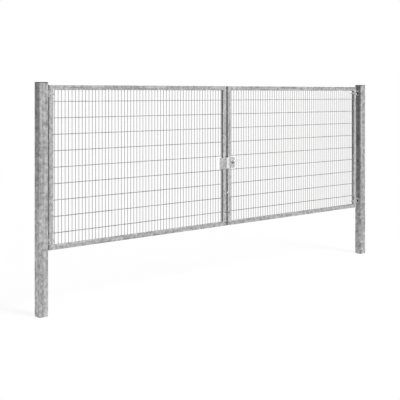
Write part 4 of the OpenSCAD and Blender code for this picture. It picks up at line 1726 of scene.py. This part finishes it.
class GATE_OT_drop_bolts(bpy.types.Operator):
    """Build the drop bolts with their bent handles and knobs, and the guide blocks"""

    bl_idname = "gate.drop_bolts"
    bl_label = "Drop bolts"

    # Radius and height of a knob's steps, as shares of its own radius and length
    KNOB = (
        (0, 0), (0.78, 0), (0.95, 0.12), (1, 0.3), (1, 0.62), (0.92, 0.82), (0.7, 0.94),
        (0.35, 0.99), (0, 1),
    )
    # A bolt's foot: the radius of its end, and the taper's height, as shares of the bolt's radius
    FOOT_R, TAPER_H = 0.55, 1.2
    # Radius of the handle's bend over its diameter, the bend's steps, and the handle's reach
    # into its knob
    BEND_R, BEND_STEPS, KNOB_IN = 0.5, 6, 0.002
    # How much of the knob's length counts as its end
    KNOB_PLAY = 1.01

    def execute(self, context):
        sizes = context.scene.gate_fittings
        middle = leaf_facts().mid_y
        # A left bolt's handle points to the front and a right one's to the back
        for side, way, toward in zip(SIDES, (-1, 1), (1, -1)):
            name = f"{side}_drop_bolt"
            low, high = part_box(name)
            end_y = low.y if way < 0 else high.y
            knob_r = self.knob_r(name, end_y, sizes)
            near, far = (low.x, high.x) if toward > 0 else (high.x, low.x)
            start = Vector((near + toward * sizes.drop_d / 2, middle, high.z - sizes.bar_d))
            bar_x, knob_y = far - toward * knob_r, end_y - way * sizes.knob_l
            bm = bmesh.new()
            self.shaft(bm, Vector((start.x, middle, low.z)), high.z - low.z, sizes)
            self.handle(bm, start, bar_x, knob_y, way, sizes)
            add_piece(f"{name}_finished", bm, name, "galvanised_hardware", [name])
            bm = bmesh.new()
            profile = [(knob_r * across, sizes.knob_l * up) for across, up in self.KNOB]
            foot = Vector((bar_x, knob_y, start.z))
            lathe(bm, profile, along(foot, Y_AXIS * way), steps=32)
            add_piece(f"{side}_knob", bm, name, "stainless")
            add_softened(
                f"{side}_guides", f"{side}_drop_guides", sizes.edge, f"{side}_leaf",
                "black_plastic",
            )
        return {"FINISHED"}

    def knob_r(self, name, end_y, sizes):
        """The knob's radius, from the CAD bolt's points at the end of its handle."""
        reach = sizes.knob_l * self.KNOB_PLAY
        points = [vertex.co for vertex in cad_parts[name].data.vertices]
        across = [p.x for p in points if abs(p.y - end_y) < reach]
        return (max(across) - min(across)) / 2

    def shaft(self, bm, foot, length, sizes):
        """The bolt itself, with a long taper at its foot."""
        radius = sizes.drop_d / 2
        lathe(
            bm,
            [
                (0, 0), (radius * self.FOOT_R, 0), (radius, radius * self.TAPER_H),
                (radius, length - sizes.chamfer), (radius - sizes.chamfer, length), (0, length),
            ],
            Matrix.Translation(foot),
        )

    def handle(self, bm, start, bar_x, knob_y, way, sizes):
        """The bent bar, from the bolt to the foot of its knob."""
        toward = 1 if bar_x > start.x else -1
        bend = sizes.bar_d * self.BEND_R
        path = [start]
        for k in range(self.BEND_STEPS + 1):
            angle = math.pi / 2 * k / self.BEND_STEPS
            path.append(Vector((
                bar_x - toward * bend * (1 - math.sin(angle)),
                start.y + way * bend * (1 - math.cos(angle)), start.z,
            )))
        path.append(Vector((bar_x, knob_y + way * self.KNOB_IN, start.z)))
        sweep(bm, tube_rings(path, sizes.bar_d))


# --- stage -----------------------------------------------------------------------------------


def seen_directly(tree):
    """1 for rays from the camera or off a mirror or through glass, and 0 for diffuse ones."""
    rays = node(tree, "ShaderNodeLightPath").outputs
    first = calc(tree, "MAXIMUM", rays["Is Camera Ray"], rays["Is Glossy Ray"])
    return calc(tree, "MAXIMUM", first, rays["Is Transmission Ray"])


def white_world(ambient):
    """A white surround that lights the gate only weakly."""
    world = bpy.data.worlds.new("White Surround")
    tree = emptied(world)
    level = output(
        tree, "ShaderNodeMix", {"Factor": seen_directly(tree), 2: ambient, 3: 1.0},
        data_type="FLOAT",
    )
    back = node(tree, "ShaderNodeBackground", {"Color": (1, 1, 1, 1), "Strength": level})
    node(tree, "ShaderNodeOutputWorld", {"Surface": back.outputs[0]})
    return world


def ramp(tree, value, start, end, first, last):
    """A value that goes from one level to another over a range."""
    return output(
        tree, "ShaderNodeMapRange",
        {"Value": value, "From Min": start, "From Max": end, "To Min": first, "To Max": last},
    )


def floor_material(look, half_length):
    """A pale floor: white to look at, with faint shadows, and lit up less away from the gate."""
    material = bpy.data.materials.new("pale_floor")
    tree = emptied(material)
    coordinates = node(tree, "ShaderNodeTexCoord").outputs["Object"]
    place = node(tree, "ShaderNodeSeparateXYZ", {0: coordinates}).outputs
    past_end = minus(tree, calc(tree, "ABSOLUTE", place[0]), half_length)
    beside = output(
        tree, "ShaderNodeCombineXYZ", {0: calc(tree, "MAXIMUM", past_end, 0.0), 1: place[1]},
    )
    distance = node(
        tree, "ShaderNodeVectorMath", {0: beside}, operation="LENGTH",
    ).outputs["Value"]
    albedo = ramp(tree, distance, look.pale_near, look.pale_reach, look.floor_pale, look.floor_far)
    shown = ramp(tree, distance, look.shadow_near, look.shadow_reach, look.shadow, 0.0)
    hidden = minus(tree, 1.0, shown)
    # What the open floor gives back, so that shadow and glow add up to white
    falling = look.key * math.sin(look.key_rise) + look.back_key * math.sin(look.back_rise)
    daylight = falling / math.pi + look.ambient
    given_back = times(tree, times(tree, albedo, daylight), shown)
    strength = over(tree, minus(tree, 1.0, given_back), hidden)
    grey = output(tree, "ShaderNodeCombineColor", {0: albedo, 1: albedo, 2: albedo})
    pale = output(tree, "ShaderNodeBsdfDiffuse", {"Color": grey})
    white = output(tree, "ShaderNodeEmission", {"Color": (1, 1, 1, 1), "Strength": strength})
    amount = times(tree, seen_directly(tree), hidden)
    mixed = output(tree, "ShaderNodeMixShader", {0: amount, 1: pale, 2: white})
    node(tree, "ShaderNodeOutputMaterial", {"Surface": mixed})
    return material


def lamp(name, kind, place, target, energy, **settings):
    """A lamp at a place that points at a target."""
    data = bpy.data.lights.new(name, kind)
    data.energy = energy
    for key, value in settings.items():
        setattr(data, key, value)
    made = new_object(name, data)
    made.matrix_world = along(place, place - target)
    made.visible_camera = kind != "AREA"
    return made


class GATE_OT_stage(bpy.types.Operator):
    """Set up the camera, the floor, the white surround and the lamps"""

    bl_idname = "gate.stage"
    bl_label = "Stage"

    # The ways from the gate to the side lamp and, level, from the right post to its low lamp
    GLINT_WAY, RIGHT_WAY = (-9, -5, 1), (-0.8, 0.6)
    # Width of the camera's sensor in millimetres, for which the lens is given
    SENSOR_W = 36.0
    # Width of the fill lamps over the low ones' height, and height of the tall one over the gate's
    FILL_W, TALL_SHARE = 1.5, 0.8

    def execute(self, context):
        scene, look = context.scene, context.scene.gate_stage
        scene.view_settings.view_transform = "Standard"
        camera = new_object("Camera", bpy.data.cameras.new("Camera"))
        camera.location = look.eye
        camera.rotation_euler = (math.pi / 2, 0, -look.heading)
        camera.data.sensor_width = self.SENSOR_W
        camera.data.lens = look.lens
        camera.data.shift_y = look.shift_y
        camera.data.clip_end = look.floor_w
        scene.camera = camera
        scene.world = white_world(look.ambient)
        self.lamps(look, self.floor(look))
        return {"FINISHED"}

    def floor(self, look):
        """A flat floor under the middle of the gate."""
        low, high = CAD_BOX
        half = look.floor_w / 2
        corners = ((-half, -half), (half, -half), (half, half), (-half, half))
        bm = bmesh.new()
        bm.faces.new([bm.verts.new((x, y, 0)) for x, y in corners])
        made = new_object("floor", mesh_of("floor", bm))
        made.data.materials.append(floor_material(look, (high.x - low.x) / 2))
        made.location = (low.x + high.x) / 2, (low.y + high.y) / 2, low.z - look.floor_drop
        return made

    def lamps(self, look, floor):
        """The main lamp, one behind the gate, and low fills that leave the floor alone."""
        low, high = CAD_BOX
        middle = (low + high) / 2
        for name, facing, level, rise in (
            ("key", -1, look.key, look.key_rise), ("back_key", 1, look.back_key, look.back_rise),
        ):
            way = Vector((
                math.sin(look.key_heading) * math.cos(rise),
                facing * math.cos(look.key_heading) * math.cos(rise), math.sin(rise),
            ))
            made = lamp(
                name, "AREA", middle + way * look.key_distance, middle,
                level * math.pi * look.key_distance**2, shape="DISK",
                size=2 * look.key_distance * math.tan(look.key_soft / 2),
            )
            # The one behind throws no shadow on the floor before the gate, and no highlights
            made.data.use_shadow = made.visible_glossy = facing < 0
        glint = lamp(
            "edge_glint", "SUN", middle + Vector(self.GLINT_WAY), middle, look.glint,
            angle=look.key_soft,
        )
        glint.visible_diffuse = False
        unlit = bpy.data.collections.new("unlit_floor")
        unlit.objects.link(floor)
        unlit.collection_objects[0].light_linking.link_state = "EXCLUDE"
        left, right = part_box("left_post")[0].x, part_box("right_post")[0].x
        low_z, width = look.fill_height, look.fill_height * self.FILL_W
        for name, x, z, way, power, tall in (
            ("left_low_fill", left, low_z, (-1, 0), look.fill, width),
            ("left_tall_fill", left, middle.z, (-1, 0), look.tall_fill, high.z * self.TALL_SHARE),
            ("right_low_fill", right, low_z / 2, self.RIGHT_WAY, look.fill / 2, low_z),
        ):
            target = Vector((x, middle.y, z))
            offset = Vector((look.fill_reach * way[0], look.fill_reach * way[1], 0))
            made = lamp(
                name, "AREA", target + offset, target, power,
                shape="RECTANGLE", size=width, size_y=tall,
            )
            made.light_linking.receiver_collection = unlit


# --- add-on ----------------------------------------------------------------------------------

SETTINGS = {
    "gate_mesh": GATE_PG_mesh, "gate_welds": GATE_PG_welds, "gate_fittings": GATE_PG_fittings,
    "gate_finish": GATE_PG_finish, "gate_stage": GATE_PG_stage,
}
OPERATORS = (
    GATE_OT_stage, GATE_OT_frames, GATE_OT_caps, GATE_OT_mesh, GATE_OT_welds, GATE_OT_hinges,
    GATE_OT_keeper, GATE_OT_lock, GATE_OT_lever, GATE_OT_drop_bolts,
)


class GATE_PT_panel(bpy.types.Panel):
    """Lists the gate's pieces and their settings"""

    bl_idname = "GATE_PT_panel"
    bl_label = "Double Gate"
    bl_space_type = "VIEW_3D"
    bl_region_type = "UI"
    bl_category = "Gate"

    def draw(self, context):
        for operator in OPERATORS:
            self.layout.operator(operator.bl_idname)
        for name, group in SETTINGS.items():
            box = self.layout.box()
            box.label(text=group.__doc__)
            for key in group.__annotations__:
                box.prop(getattr(context.scene, name), key)


CLASSES = (*SETTINGS.values(), *OPERATORS, GATE_PT_panel)


def register():
    """Registers the classes and puts their settings on the scene."""
    for cls in CLASSES:
        bpy.utils.register_class(cls)
    for name, group in SETTINGS.items():
        setattr(bpy.types.Scene, name, PointerProperty(type=group))


def unregister():
    """Takes the settings and the classes away."""
    for name in SETTINGS:
        delattr(bpy.types.Scene, name)
    for cls in reversed(CLASSES):
        bpy.utils.unregister_class(cls)


def main():
    """Builds everything."""
    register()
    for operator in OPERATORS:
        getattr(bpy.ops.gate, operator.bl_idname.split(".")[1])()


if __name__ == "__main__":
    main()
